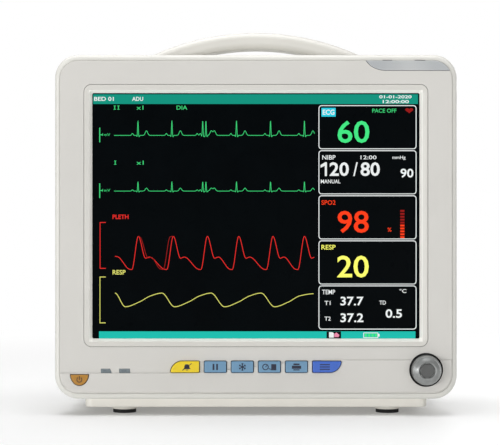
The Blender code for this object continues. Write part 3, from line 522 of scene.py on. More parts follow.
SLOT_TRIM = 0.01
SCREWS = ("back_screw_1", "back_screw_2", "back_screw_3", "back_screw_4")
SCREW_SEAT_DEPTH = 1.7
SCREW_HOLE_RADIUS = 1.7
SCREW_SEAT_RADIUS = 4


def case_sections(rows):
    """Sections from (along Y, half width, bottom, top, corner) rows."""
    return [(y, rounded_outline(-half, half, bottom, top, corner)) for y, half, bottom, top, corner in rows]


def cover_rows():
    rows = []
    for inset, y in quarter_round(RIM_FRONT_Y, RIM_EDGE, RIM_EDGE, 8):
        rows.append((y, RIM_HALF_WIDTH - inset, RIM_BOTTOM + inset, RIM_TOP - inset, RIM_CORNER - inset))
    for i in range(9):
        share = eased(i / 8)
        y = RIM_BACK_Y + (SHOULDER_Y - RIM_BACK_Y) * i / 8
        half = RIM_HALF_WIDTH + (BODY_HALF_WIDTH - RIM_HALF_WIDTH) * share
        rows.append((y, half, RIM_BOTTOM, RIM_TOP + (BODY_TOP - RIM_TOP) * share, RIM_CORNER))
    for share, y in far_round(BACK_Y, 1, BACK_Y - TAPER_START_Y, 12):
        bottom = RIM_BOTTOM + TAPER_UP * share
        top = BODY_TOP - TAPER_DOWN * share
        rows.append((y, BODY_HALF_WIDTH - TAPER_IN * share, bottom, top, RIM_CORNER + TAPER_ROUND * share))
    return rows


def cavity_rows():
    corner = RIM_CORNER - WALL
    return (
        (RIM_FRONT_Y - WALL, SKIRT_HALF_WIDTH, SKIRT_BOTTOM, SKIRT_TOP, corner),
        (RIM_BACK_Y - 1, SKIRT_HALF_WIDTH, SKIRT_BOTTOM, SKIRT_TOP, corner),
        (SHOULDER_Y - 1, BODY_HALF_WIDTH - WALL, SKIRT_BOTTOM, BODY_TOP - WALL, corner),
        (TAPER_START_Y - 2, BODY_HALF_WIDTH - WALL, SKIRT_BOTTOM, BODY_TOP - WALL, corner),
        (64, 139.5, 19.5, 252, 20),
        (BACK_Y - WALL, 130, 26.5, 241.5, 23),
    )


def cover_openings():
    bm = bmesh.new()
    left = (-BODY_HALF_WIDTH - WALL, -BODY_HALF_WIDTH + 2 * WALL)
    right = (BODY_HALF_WIDTH - 2 * WALL, BODY_HALF_WIDTH + WALL)
    back = (BACK_Y - 2 * WALL, BACK_Y + WALL)
    block(bm, (-WELL_HALF_WIDTH, WELL_HALF_WIDTH), WELL_Y, (WELL_FLOOR, WELL_TOP), WELL_CORNER)
    block(bm, left, *SOCKET_OPENING, OPENING_CORNER, "X")
    block(bm, right, *RECORDER_OPENING, OPENING_CORNER, "X")
    block(bm, BATTERY_OPENING[0], back, BATTERY_OPENING[1], BATTERY_CORNER, "Y")
    block(bm, PORT_OPENING[0], back, PORT_OPENING[1], OPENING_CORNER, "Y")
    half = VENT_WIDTH / 2
    for x in spread(VENT_COUNT, VENT_PITCH):
        block(bm, (x - half, x + half), back, VENT_Z, half - SLOT_TRIM, "Y")
    for i in range(GRILLE_COUNT):
        z = GRILLE_BOTTOM + i * GRILLE_PITCH
        block(bm, left, GRILLE_Y, (z, z + GRILLE_WIDTH), GRILLE_WIDTH / 2 - SLOT_TRIM, "X")
    seat = BACK_Y - SCREW_SEAT_DEPTH
    profile = [(back[0], 0), (back[0], SCREW_HOLE_RADIUS), (seat, SCREW_HOLE_RADIUS)]
    profile += [(seat, SCREW_SEAT_RADIUS), (back[1], SCREW_SEAT_RADIUS), (back[1], 0)]
    for node in SCREWS:
        turned(bm, "Y", profile, 32, off_axis(node, "Y"))
    return make("cut_openings", bm)


def rear_cover():
    cover = solid("cover_shell", stacked, "Y", case_sections(cover_rows()), material=WHITE)
    cavity = solid("cut_cavity", stacked, "Y", case_sections(cavity_rows()))
    half = WELL_HALF_WIDTH + WALL
    around_well = ((-half, half), (WELL_Y[0] - WALL, WELL_Y[1] + WALL), (WELL_FLOOR - WALL, WELL_TOP))
    carve(cavity, solid("kept_well", block, *around_well, WELL_CORNER + WALL))
    carve(cover, cavity, cover_openings())
    settle(cover, CASE, "case_white", "rear_cover", edge=COVER_EDGE)


rear_cover()


# ---------------- front bezel

BEZEL_LOW = low("front_bezel")
BEZEL_HIGH = high("front_bezel")
GAP = 0.3
UPPER_FACE_Y = -64.2
PLATE_BACK_Y = -61.8
CUT_FRONT_Y = BEZEL_LOW.y - WALL
CUT_BACK_Y = PLATE_BACK_Y + WALL
BEZEL_CORNER = 14
BEZEL_EDGE = 1.6
BEZEL_WALL = 2.8
BEYOND_X = BEZEL_HIGH.x + BEZEL_CORNER
ABOVE_Z = BEZEL_HIGH.z + BEZEL_CORNER
STEP_LEFT_Z = 32.1
STEP_RIGHT_Z = 41.9
STEP_TURN_X = 60
STEP_GROOVE = 0.5
SEAL_FRONT_Y = BEZEL_LOW.y + BEZEL_EDGE + 0.5
SEAL_BACK_Y = -50
SEAL_INSIDE = 0.06
SEAL_OUTSIDE = 0.36
SURROUND = middle("screen_surround")
SURROUND_HALF_WIDTH = high("screen_surround").x + GAP
SURROUND_HALF_HEIGHT = high("screen_surround").z - SURROUND.z + GAP
SURROUND_CORNER = 6
KEY_CLEARANCE = 0.05
CAP_GAP = 0.5
KEY_FLANGE = 1
KEY_CENTRE_Z = middle("pause_key").z
KEY_WIDTH = 17.3
KEY_HEIGHT = 9.3
KEY_CORNER = 1.1
KEY_TIP = 0.6 * KEY_CORNER
END_KEY_WIDTH = 22.4
KEY_FRONT_Y = low("pause_key").y
KEY_BACK_Y = high("pause_key").y
PALE_BLUE = shade(99, 138, 168)
KEYS = (
    ("silence_key", "key_yellow", shade(219, 191, 20)),
    ("pause_key", "key_pale_blue", PALE_BLUE),
    ("freeze_key", "key_pale_blue", PALE_BLUE),
    ("pressure_key", "key_pale_blue", PALE_BLUE),
    ("print_key", "key_pale_blue", PALE_BLUE),
    ("menu_key", "key_blue", shade(53, 94, 183)),
)
POWER_PLACE = (middle("power_button").x, 0, high("power_button").z - KEY_FLANGE)
POWER_HALF_WIDTH = 7.2
POWER_DEPTH = 8.8
LIGHTS = ("light_guide_1", "light_guide_2")
LIGHT_WIDTH = 8
LIGHT_HEIGHT = 3.1
LIGHT_CLEARANCE = 0.15
LIGHT_SLANTS = {"light_guide_1": 1.2, "light_guide_2": 0.1}
KNOB_PLACE = off_axis("control_knob", "Y")
WELL_RADIUS = 12.7
KNOB_WELL_Y = -63.6
BUSH_RADIUS = 4.7
LAMP_BOTTOM = low("alarm_lens").z
LAMP_CURVE_X = (82.5, 87, 97)
LAMP_CURVE_Z = (BEZEL_HIGH.z, LAMP_BOTTOM + 0.6, LAMP_BOTTOM)
LAMP_CLIPS = ((95, 102), (119, 127))


def key_outline(name):
    """A key's outline about its centre; an end key has a quarter-round outer end."""
    half_height = KEY_HEIGHT / 2
    if name not in ("silence_key", "menu_key"):
        return centred_outline(KEY_WIDTH / 2, half_height, KEY_CORNER, 6)
    half_width = END_KEY_WIDTH / 2
    points = arc(half_width - KEY_CORNER, -half_height + KEY_CORNER, KEY_CORNER, -90, 0, 6)
    points += arc(half_width - KEY_CORNER, half_height - KEY_CORNER, KEY_CORNER, 0, 90, 6)
    points += arc(-half_width + KEY_HEIGHT, -half_height, KEY_HEIGHT, 90, 174, 16)
    points += arc(-half_width + KEY_CORNER, -half_height + KEY_TIP, KEY_TIP, 210, 270, 3)
    return points if name == "silence_key" else [(-u, -v) for u, v in points]


def key_place(name):
    """The middle of a key's outline; an end key's is found from its inner end."""
    x = middle(name).x
    if name == "silence_key":
        x = high(name).x - KEY_FLANGE - END_KEY_WIDTH / 2
    if name == "menu_key":
        x = low(name).x + KEY_FLANGE + END_KEY_WIDTH / 2
    return (x, 0, KEY_CENTRE_Z)


def power_outline():
    curve = arc(0, 0, 1, 180, 360, 32)[1:-1]
    points = [(POWER_HALF_WIDTH * u, POWER_DEPTH * v) for u, v in curve]
    return [(-POWER_HALF_WIDTH, 0)] + points + [(POWER_HALF_WIDTH, 0)]


def light_outline(name):
    half = LIGHT_WIDTH / 2
    return [(-half, 0), (half, 0), (half - LIGHT_SLANTS[name], LIGHT_HEIGHT), (-half, LIGHT_HEIGHT)]


def light_place(name):
    return (middle(name).x, 0, low(name).z)


def lamp_outline():
    """The bezel's rounded corner, closed by a curve from its top edge to its side.

    The curve runs from the first point towards the second and ends at the third.
    """
    corner_x = BEZEL_HIGH.x - BEZEL_CORNER
    corner_z = BEZEL_HIGH.z - BEZEL_CORNER
    start_deg = math.degrees(math.asin((LAMP_BOTTOM - corner_z) / BEZEL_CORNER))
    points = arc(corner_x, corner_z, BEZEL_CORNER, start_deg, 90, 12)
    for i in range(15):
        t = i / 14
        weights = ((1 - t) ** 2, 2 * t * (1 - t), t**2)
        points.append([sum(w * x for w, x in zip(weights, curve)) for curve in (LAMP_CURVE_X, LAMP_CURVE_Z)])
    return points


def step_line():
    """The line between the upper and lower face, which rises to the right in the middle."""
    points = [(-BEYOND_X, STEP_LEFT_Z)]
    for i in range(25):
        t = i / 24
        rise = (STEP_RIGHT_Z - STEP_LEFT_Z) * eased(t)
        points.append((STEP_TURN_X * (2 * t - 1), STEP_LEFT_Z + rise))
    return points + [(BEYOND_X, STEP_RIGHT_Z)]


def bezel_holes():
    bm = bmesh.new()
    display = centred_outline(SURROUND_HALF_WIDTH, SURROUND_HALF_HEIGHT, SURROUND_CORNER)
    holes = [(display, (0, 0, SURROUND.z))]
    holes += [(grown(key_outline(name), KEY_CLEARANCE), key_place(name)) for name, _, _ in KEYS]
    holes.append((grown(power_outline(), KEY_CLEARANCE), POWER_PLACE))
    holes += [(grown(light_outline(name), LIGHT_CLEARANCE), light_place(name)) for name in LIGHTS]
    for outline, place in holes:
        prism(bm, "Y", outline, CUT_FRONT_Y, CUT_BACK_Y, place)
    well = [(CUT_FRONT_Y, 0), (CUT_FRONT_Y, WELL_RADIUS), (KNOB_WELL_Y, WELL_RADIUS)]
    well += [(KNOB_WELL_Y, BUSH_RADIUS), (CUT_BACK_Y, BUSH_RADIUS), (CUT_BACK_Y, 0)]
    turned(bm, "Y", well, 64, KNOB_PLACE)
    prism(bm, "Y", grown(lamp_outline(), GAP), CUT_FRONT_Y, high("alarm_lens").y + GAP)
    return make("cut_holes", bm)


def front_bezel():
    outline = rounded_outline(BEZEL_LOW.x, BEZEL_HIGH.x, BEZEL_LOW.z, BEZEL_HIGH.z, BEZEL_CORNER)
    sections = rims(outline, quarter_round(BEZEL_LOW.y, BEZEL_EDGE, BEZEL_EDGE, 6))
    sections.append((BEZEL_HIGH.y, outline))
    bezel = solid("bezel_plate", stacked, "Y", sections, material=BEZEL_WHITE)
    inner = grown(outline, -BEZEL_WALL)
    hollow = solid("cut_hollow", prism, "Y", inner, PLATE_BACK_Y, BEZEL_HIGH.y + WALL)
    path = step_line()
    upper_face = path + [(BEYOND_X, ABOVE_Z), (-BEYOND_X, ABOVE_Z)]
    upper = solid("cut_step", prism, "Y", upper_face, CUT_FRONT_Y, UPPER_FACE_Y)
    narrow = path + [(u, v + STEP_GROOVE) for u, v in reversed(path)]
    groove = solid("cut_groove", prism, "Y", narrow, CUT_FRONT_Y, UPPER_FACE_Y + STEP_GROOVE)
    carve(bezel, hollow, upper, groove, bezel_holes())
    settle(bezel, CASE, "case_white", "front_bezel", edge=0.3)
    sides = (grown(outline, SEAL_INSIDE), grown(outline, SEAL_OUTSIDE))
    seal = solid("bezel_seal", band, "Y", *sides, SEAL_FRONT_Y, SEAL_BACK_Y, material=SEAL_GREY)
    settle(seal, CASE, "case_white")


front_bezel()


# ---------------- display surround and lamp

SCREEN = middle("lcd_panel")
SCREEN_HALF_WIDTH = 123
SCREEN_HALF_HEIGHT = 92.25
LIP_WIDTH = 1.9
LIP_FADE = 0.3
LIP_DEPTH = 1.2
LIP_CORNER = 2.6
PICTURE_CORNER = 1.2
EDGE_THICKNESS = 0.7
CLIP_DEPTH = 3
CLIP_DROP = 0.35


def from_display_edge(finish):
    """How far a point lies outside the display's opening, in metres."""
    apart = finish.node("SeparateXYZ", {0: finish.place}).outputs
    distances = []
    for axis, centre, half in (("X", SCREEN.x, SCREEN_HALF_WIDTH), ("Z", SCREEN.z, SCREEN_HALF_HEIGHT)):
        value = apart[axis]
        for operation, amount in (("SUBTRACT", centre), ("ABSOLUTE", 0), ("SUBTRACT", half)):
            value = finish.node("Math", {0: value, 1: amount * MM}, operation=operation).outputs[0]
        distances.append(value)
    return finish.node("Math", dict(enumerate(distances)), operation="MAXIMUM").outputs[0]


def around_screen(margin, corner):
    """An outline round the picture, about the middle of the surround."""
    lift = SCREEN.z - SURROUND.z
    half_width = SCREEN_HALF_WIDTH + margin
    half_height = SCREEN_HALF_HEIGHT + margin
    return rounded_outline(-half_width, half_width, lift - half_height, lift + half_height, corner)


def screen_surround():
    back = high("screen_surround").y
    place = (0, 0, SURROUND.z)
    # The lip sloping into the display is painted paler than the rest of the surround: a painted highlight on
    # the slope.
    outside = from_display_edge(SURROUND_FINISH)
    SURROUND_FINISH.tinted(outside, shade(232, 230, 224), (LIP_WIDTH + LIP_FADE) * MM, LIP_WIDTH * MM)
    outer = centred_outline(SURROUND_HALF_WIDTH - GAP, SURROUND_HALF_HEIGHT - GAP, SURROUND_CORNER - GAP)
    material = SURROUND_FINISH.material
    ring = solid("surround_ring", prism, "Y", outer, UPPER_FACE_Y, back, place, material=material)
    wide = grown(outer, -1)
    narrow = around_screen(0, PICTURE_CORNER)
    slope = (
        (UPPER_FACE_Y - WALL, wide),
        (UPPER_FACE_Y, wide),
        (UPPER_FACE_Y + LIP_DEPTH, around_screen(LIP_WIDTH, LIP_CORNER)),
        (back - EDGE_THICKNESS, narrow),
        (back + WALL, narrow),
    )
    carve(ring, solid("cut_slope", stacked, "Y", slope, place))
    settle(ring, CASE, "surround_white", "screen_surround", edge=0.25)


def alarm_lens():
    outline = lamp_outline()
    front = low("alarm_lens").y
    top = high("alarm_lens").z
    sections = rims(outline, quarter_round(front, 0.6, 0.5, 4)) + [(high("alarm_lens").y, outline)]
    settle(solid("lamp_cover", stacked, "Y", sections, material=LENS), CASE, "lamp_lens", "alarm_lens")
    clips = bmesh.new()
    for x_range in LAMP_CLIPS:
        block(clips, x_range, (front + GAP, front + CLIP_DEPTH), (top - CLIP_DROP, top + GAP))
    settle(make("lamp_clips", clips, RUBBER), CASE, "lamp_lens")


screen_surround()
alarm_lens()


# ---------------- display picture

PICTURE_Y = low("lcd_panel").y
PICTURE_PLACE = (SCREEN.x, 0, SCREEN.z)
PRINT_THICKNESS = 0.04
WELD_DISTANCE = 0.0002
LAYER = 0.05
PICTURE_COLOURS = {
    "green": shade(62, 214, 122),
    "bright_green": shade(66, 232, 132),
    "red": shade(232, 44, 40),
    "dim_red": shade(150, 22, 20),
    "bright_red": shade(255, 62, 22),
    "yellow": shade(224, 224, 112),
    "bright_yellow": shade(255, 255, 110),
    "white": shade(236, 240, 240),
    "cyan": shade(40, 205, 225),
    "header_teal": shade(14, 147, 126),
    "footer_teal": shade(28, 190, 175),
    "black": shade(10, 10, 12),
    "pink": shade(232, 140, 170),
}
picture = {colour: bmesh.new() for colour in PICTURE_COLOURS}


def print_depths(layer):
    """Where a layer of print begins and ends along Y."""
    y = PICTURE_Y - LAYER * (layer + 1)
    return (y, y + PRINT_THICKNESS)


def draw(colour, outline, layer=0):
    """A filled shape from (right, up) points about the middle of the display."""
    prism(picture[colour], "Y", outline, *print_depths(layer), PICTURE_PLACE)


def bar(colour, left, right, bottom, top, layer=0):
    draw(colour, rectangle(left, right, bottom, top), layer)


def frame_of(colour, left, right, bottom, top, width, corner, layer=0):
    """A rounded rectangle drawn as a line of this width."""
    outer = rounded_outline(left, right, bottom, top, corner, 6)
    band(picture[colour], "Y", grown(outer, -width), outer, *print_depths(layer), PICTURE_PLACE)


def line(colour, points, width, layer=0):
    """A line of this width through (right, up) points."""
    front, back = print_depths(layer)
    bm = picture[colour]
    rings = []
    for i, (u, v) in enumerate(points):
        before = points[max(i - 1, 0)]
        after = points[min(i + 1, len(points) - 1)]
        along_u = after[0] - before[0]
        along_v = after[1] - before[1]
        reach = width / 2 / math.hypot(along_u, along_v)
        sides = [(u - along_v * reach, v + along_u * reach), (u + along_v * reach, v - along_u * reach)]
        ring = add_ring(bm, "Y", sides, front, PICTURE_PLACE)
        rings.append(ring + add_ring(bm, "Y", sides[::-1], back, PICTURE_PLACE))
    skin(bm, rings)


def write(colour, words, left, right, bottom, top, bold=0.02, layer=0):
    """Characters stretched to fill this space."""
    curve = bpy.data.curves.new("words", "FONT")
    curve.body = words
    curve.offset = bold
    curve.resolution_u = 3
    curve.extrude = 0.01
    helper = bpy.data.objects.new("words", curve)
    bpy.context.scene.collection.objects.link(helper)
    graph = bpy.context.evaluated_depsgraph_get()
    mesh = bpy.data.meshes.new_from_object(helper.evaluated_get(graph), depsgraph=graph)
    xs = [vertex.co.x for vertex in mesh.vertices]
    ys = [vertex.co.y for vertex in mesh.vertices]
    across = (right - left) / (max(xs) - min(xs))
    up = (top - bottom) / (max(ys) - min(ys))
    front, back = print_depths(layer)
    for vertex in mesh.vertices:
        u = left + (vertex.co.x - min(xs)) * across
        v = bottom + (vertex.co.y - min(ys)) * up
        y = front if vertex.co.z > 0 else back
        vertex.co = ((SCREEN.x + u) * MM, y * MM, (SCREEN.z + v) * MM)
    picture[colour].from_mesh(mesh)
    bpy.data.objects.remove(helper)
    bpy.data.curves.remove(curve)
    bpy.data.meshes.remove(mesh)


def through(points, step=0.4):
    """A smooth curve through the points, flat at each local peak, sampled at this step across."""
    slopes = [0.0]
    for before, here, after in zip(points, points[1:], points[2:]):
        first = (here[1] - before[1]) / (here[0] - before[0])
        second = (after[1] - here[1]) / (after[0] - here[0])
        slopes.append(2 * first * second / (first + second) if first * second > 0 else 0.0)
    slopes.append(0.0)
    curve = []
    for i, (start, end) in enumerate(zip(points, points[1:])):
        width = end[0] - start[0]
        count = max(2, round(width / step))
        for k in range(count):
            t = k / count
            value = start[1] + (end[1] - start[1]) * eased(t)
            value += (t**3 - 2 * t**2 + t) * width * slopes[i] + (t**3 - t**2) * width * slopes[i + 1]
            curve.append((start[0] + width * t, value))
    return curve + [points[-1]]


WAVE_LEFT = -106.7
WAVE_RIGHT = 44.1
WAVE_STEP = 0.15
HEART_LINE = 0.44
WAVE_LINE = 0.54
DIM_LINE = 0.5
BEATS = (-88.7, -63.2, -40.0, -37.6, -14.6, 11.0, 36.5)
PULSE_PEAKS = (-88.4, -62.1, -36.5, -12.9, 12.8, 36.5)
# Each bump of a heartbeat: (from the main spike, height as a share of the spike, half width).
HEARTBEAT = ((-4.2, 0.13, 0.75), (-0.75, -0.09, 0.35), (0, 1, 0.36), (0.85, -0.1, 0.4), (6.4, 0.31, 1.25))


def heart_trace(baseline, spike):
    points = []
    count = round((WAVE_RIGHT - WAVE_LEFT) / WAVE_STEP)
    for i in range(count + 1):
        u = WAVE_LEFT + (WAVE_RIGHT - WAVE_LEFT) * i / count
        v = baseline
        for beat in BEATS:
            for away, height, half_width in HEARTBEAT:
                v += spike * height * math.exp(-(((u - beat - away) / half_width) ** 2))
        points.append((u, v))
    line("green", points, HEART_LINE)


def pulse_trace():
    """The pulse wave, and its first beat again in a dimmer red."""
    points = [(-106.0, -30.5), (-104.2, -30.7)]
    for peak in PULSE_PEAKS:
        points += [(peak - 6.6, -40.2), (peak - 4.9, -40.4), (peak, -15.4)]
        points += [(peak + 5.4, -31.9), (peak + 8.2, -31.0)]
    line("red", through(points[:-1] + [(43.9, -31.2)]), WAVE_LINE)
    first, second = PULSE_PEAKS[:2]
    again = [(first, -15.4), (first + 1.4, -16.2), (first + 7.4, -31.6), (first + 9.6, -31.2)]
    again += [(second - 9.8, -39.9), (second - 7.6, -40.3), (second - 2.4, -15.8), (second, -15.4)]
    line("dim_red", through(again), DIM_LINE, 1)


def breath_trace():
    points = [(-106.0, -58.1)]
    for trough in (-98.2, -61.2, -23.6, 14.0):
        points += [(trough, -68.4), (trough + 10.5, -64.8), (trough + 19, -60.2), (trough + 27.5, -58.1)]
    points = [p for p in points if p[0] < 40] + [(43.4, -58.6)]
    line("yellow", through(points), WAVE_LINE)


def bracket(colour, u, top, bottom, arm):
    line(colour, [(u, top), (u, bottom)], WAVE_LINE)
    bar(colour, u, u + arm, top - 0.6, top)
    bar(colour, u, u + arm, bottom, bottom + 0.6)


def heart_shape(centre_u, centre_v, width, height):
    points = []
    for i in range(32):
        t = 2 * math.pi * i / 32
        u = 16 * math.sin(t) ** 3
        v = 13 * math.cos(t) - 5 * math.cos(2 * t) - 2 * math.cos(3 * t) - math.cos(4 * t)
        points.append((centre_u + u / 32 * width, centre_v + (v + 2.5) / 29 * height))
    return points[::-1]


def numeral_one(colour, left, right, bottom, top, stem):
    """A figure one with a flag."""
    flag = (top - bottom) * 0.2
    outline = [(right - stem, bottom), (right, bottom), (right, top), (right - 0.8 * stem, top)]
    outline += [(left, top - flag), (left, top - 2 * flag), (right - stem, top - 1.25 * flag)]
    draw(colour, outline)


def roman_one(colour, centre, bottom, top):
    """A capital I with serifs."""
    bar(colour, centre - 0.3, centre + 0.3, bottom, top)
    bar(colour, centre - 0.85, centre + 0.85, bottom, bottom + 0.4)
    bar(colour, centre - 0.85, centre + 0.85, top - 0.4, top)


def draw_waves():
    for u in (-106.2, -103.4):
        roman_one("green", u, 79.9, 82.9)
    write("green", "x1", -89.8, -84.6, 79.9, 82.9, 0.01)
    write("green", "DIA", -59.7, -51.6, 79.9, 82.9, 0.01)
    roman_one("green", -105.8, 38.5, 41.5)
    write("green", "x1", -89.8, -84.4, 38.5, 41.5, 0.01)
    for baseline, spike in ((60.5, 11.1), (18.6, 7.2)):
        heart_trace(baseline, spike)
        bar("green", -117.85, -117.1, baseline - 5.2, baseline + 5.8)
        bar("green", -117, -115.2, baseline + 0.1, baseline + 0.8)
        write("green", "1mV", -115.4, -109.6, baseline - 0.4, baseline + 1.6, 0)
    write("red", "PLETH", -107.8, -95.8, -2.4, 0.9)
    bracket("red", -117.2, -4.7, -39.8, 4.3)
    pulse_trace()
    write("yellow", "RESP", -107.8, -98, -44.2, -40.7)
    bracket("yellow", -117.3, -45.7, -80.8, 4.3)
    breath_trace()


def draw_bars():
    bar("header_teal", -122.4, 121.9, 84.1, 91.4)
    write("white", "BED 01", -121.7, -106.9, 86.4, 89.5, layer=1)
    write("white", "ADU", -93.1, -84.8, 86.4, 89.5, layer=1)
    write("white", "01-01-2020", 92.8, 117.1, 88.3, 90.7, layer=1)
    write("white", "12:00:00", 95.4, 115.1, 84.7, 87.1, layer=1)
    bar("footer_teal", -118, 120, -92.25, -86.9)
    bar("black", 53.1, 64.1, -92.2, -87, 1)
    draw("white", [(55, -91.6), (58.6, -91.6), (58.6, -88.2), (57.4, -87.5), (55, -87.5)], 2)
    draw("pink", [(58.9, -91.2), (62.2, -91.2), (62.8, -89.6), (60.6, -87.7), (58.9, -88.8)], 2)
    frame_of("white", 80.8, 92, -91.8, -87.8, 0.5, 0.4, 1)
    bar("white", 92, 93, -90.8, -88.8, 1)
    for i in range(4):
        bar("bright_green", 81.9 + 2.5 * i, 83.6 + 2.5 * i, -91, -88.6, 1)


BOX_LEFT = 47.1
BOX_RIGHT = 120.8
BOX_TOP = 83.2
BOX_HEIGHT = 33.1
BOX_PITCH = 33.9
BOX_LINE = 0.62
BOX_CORNER = 2.4


def draw_values():
    for i in range(5):
        top = BOX_TOP - BOX_PITCH * i
        frame_of("white", BOX_LEFT, BOX_RIGHT, top - BOX_HEIGHT, top, BOX_LINE, BOX_CORNER)
    bar("cyan", 49.3, 60, 74.6, 81.2)
    write("white", "ECG", 50.2, 59.1, 76, 79.9, layer=1)
    write("green", "PACE OFF", 87.5, 105.7, 77.6, 80.6, 0.01)
    draw("dim_red", heart_shape(115.3, 79, 6, 4))
    write("bright_green", "60", 61.4, 85.4, 54.8, 71.6, 0.012)
    write("white", "NIBP", 49.9, 59.9, 42.3, 45.6, 0.01)
    write("white", "12:00", 78.7, 90.7, 42.5, 45.4, 0.01)
    write("white", "mmHg", 102.7, 112.5, 42, 45.2, 0.01)
    numeral_one("white", 48.6, 53.4, 29.9, 40.3, 1.55)
    write("white", "20", 55.4, 69.9, 29.9, 40.3)
    write("white", "/", 73.2, 76.6, 29.9, 40.3, 0.01)
    write("white", "80", 78.7, 93.2, 29.9, 40.3)
    write("white", "90", 108.7, 118.5, 28.7, 35.5)
    write("white", "MANUAL", 48.8, 63.6, 24.4, 27.3, 0.01)
    write("bright_red", "SPO2", 49.3, 59.9, 8.3, 11.7, 0.01)
    write("bright_red", "98", 61.4, 84.9, -12.9, 3.8, 0.012)
    write("bright_red", "%", 99, 102, -11.9, -8.9, 0.01)
    for i in range(10):
        bottom = -16.8 + 2.2 * i
        bar("bright_red" if i < 5 else "dim_red", 108.6, 111.7, bottom, bottom + 1.4)
    write("bright_yellow", "RESP", 49.3, 59.9, -25.4, -21.8, 0.01)
    write("bright_yellow", "20", 61.1, 84.9, -46.5, -29.9, 0.012)
    write("white", "TEMP", 49.8, 59.6, -59, -55.6, 0.01)
    write("white", "°C", 108, 113.2, -58, -55, 0.01)
    write("white", "T1", 51.6, 56.1, -67.1, -64, 0.01)
    write("white", "37.7", 63.6, 80.9, -67.5, -60.8)
    write("white", "TD", 92.9, 97.8, -66.8, -63.8, 0.01)
    write("white", "0.5", 97.5, 109.9, -76.8, -70.2)
    write("white", "T2", 51.6, 56.3, -78.8, -75.8, 0.01)
    write("white", "37.2", 63.6, 80.9, -80.1, -73.3)


def finish_picture():
    for colour, bm in picture.items():
        bmesh.ops.remove_doubles(bm, verts=bm.verts, dist=WELD_DISTANCE * MM)
        effects = ((1, 0.2), (1, 0.05), (0.06, 0.001))
        finish = textured(f"picture_{colour}", shade(4, 4, 4), 0.4, *effects, specular=0.04)
        finish.glowing(PICTURE_COLOURS[colour])
        hang(make(f"picture_{colour}", bm, finish.material), CASE, "display_black")


draw_waves()
draw_bars()
draw_values()
finish_picture()


# ---------------- keys

CAP_EDGE = 0.45
CAP_CROWN = ((0, 1.6), (0.05, 0.7))
CAP_EDGE_START = 0.13
MAT_FRONT_Y = PLATE_BACK_Y + GAP + 0.02
MARK_RAISE = 0.03
MARK_DEPTH = 0.25
MARK_SCALE = 1.35
MARK_SHIFTS = {"silence_key": 1.6, "menu_key": -1.6}
LIGHT_MARK_SHIFT = 0.4
LIGHT_INK = shade(92, 102, 108)


def button(node, slot, outline, place, plastic):
    """A crowned cap, and the dark rubber mat under it that holds it in behind the plate; the mat's dark
    colour is also painted shade in the gap round the cap.
    """
    front = low(node).y
    cap = grown(outline, -CAP_GAP)
    rim = grown(cap, -CAP_EDGE)
    sections = [(front + depth, pulled_in(rim, inset)) for depth, inset in CAP_CROWN]
    sections += rims(cap, quarter_round(front + CAP_EDGE_START, CAP_EDGE, CAP_EDGE))
    sections.append((PLATE_BACK_Y + GAP, cap))
    settle(solid(f"{node}_cap", stacked, "Y", sections, place, material=plastic), node, slot, node)
    # The mat's dark rubber shows in the gap round the cap as painted shade.
    wide = grown(outline, KEY_FLANGE)
    sections = ((MAT_FRONT_Y, wide), (MAT_FRONT_Y + 0.3, grown(wide, 0.05)), (KEY_BACK_Y, wide))
    settle(solid(f"{node}_mat", stacked, "Y", sections, place, material=RUBBER), node, slot)


def symbols(name, shapes, y, place, slot, body, colour=INK):
    """Flat printed marks, each an outline about the place."""
    bm = bmesh.new()
    for outline in shapes:
        prism(bm, "Y", outline, y - MARK_RAISE, y + MARK_DEPTH, place)
    hang(make(name, bm, ink(name, colour)), body, slot)


def ring_parts(centre_u, centre_v, radius, width, start_deg, end_deg, steps=20):
    outer = arc(centre_u, centre_v, radius, start_deg, end_deg, steps)
    inner = arc(centre_u, centre_v, radius - width, start_deg, end_deg, steps)
    return [[inner[i], outer[i], outer[i + 1], inner[i + 1]] for i in range(steps)]


def stroke(start, end, width):
    along_u = end[0] - start[0]
    along_v = end[1] - start[1]
    reach = width / 2 / math.hypot(along_u, along_v)
    u = -along_v * reach
    v = along_u * reach
    near = [(start[0] - u, start[1] - v), (end[0] - u, end[1] - v)]
    return near + [(end[0] + u, end[1] + v), (start[0] + u, start[1] + v)]


def snowflake():
    shapes = []
    for i in range(3):
        angle = math.radians(90 + 60 * i)
        reach = (2 * math.cos(angle), 2 * math.sin(angle))
        shapes.append(stroke((-reach[0], -reach[1]), reach, 0.5))
        for side in (1, -1):
            tip = (side * 1.3 * math.cos(angle), side * 1.3 * math.sin(angle))
            for turn in (40, -40):
                away = angle + math.radians(turn)
                end = (tip[0] + side * 0.8 * math.cos(away), tip[1] + side * 0.8 * math.sin(away))
                shapes.append(stroke(tip, end, 0.36))
    return shapes


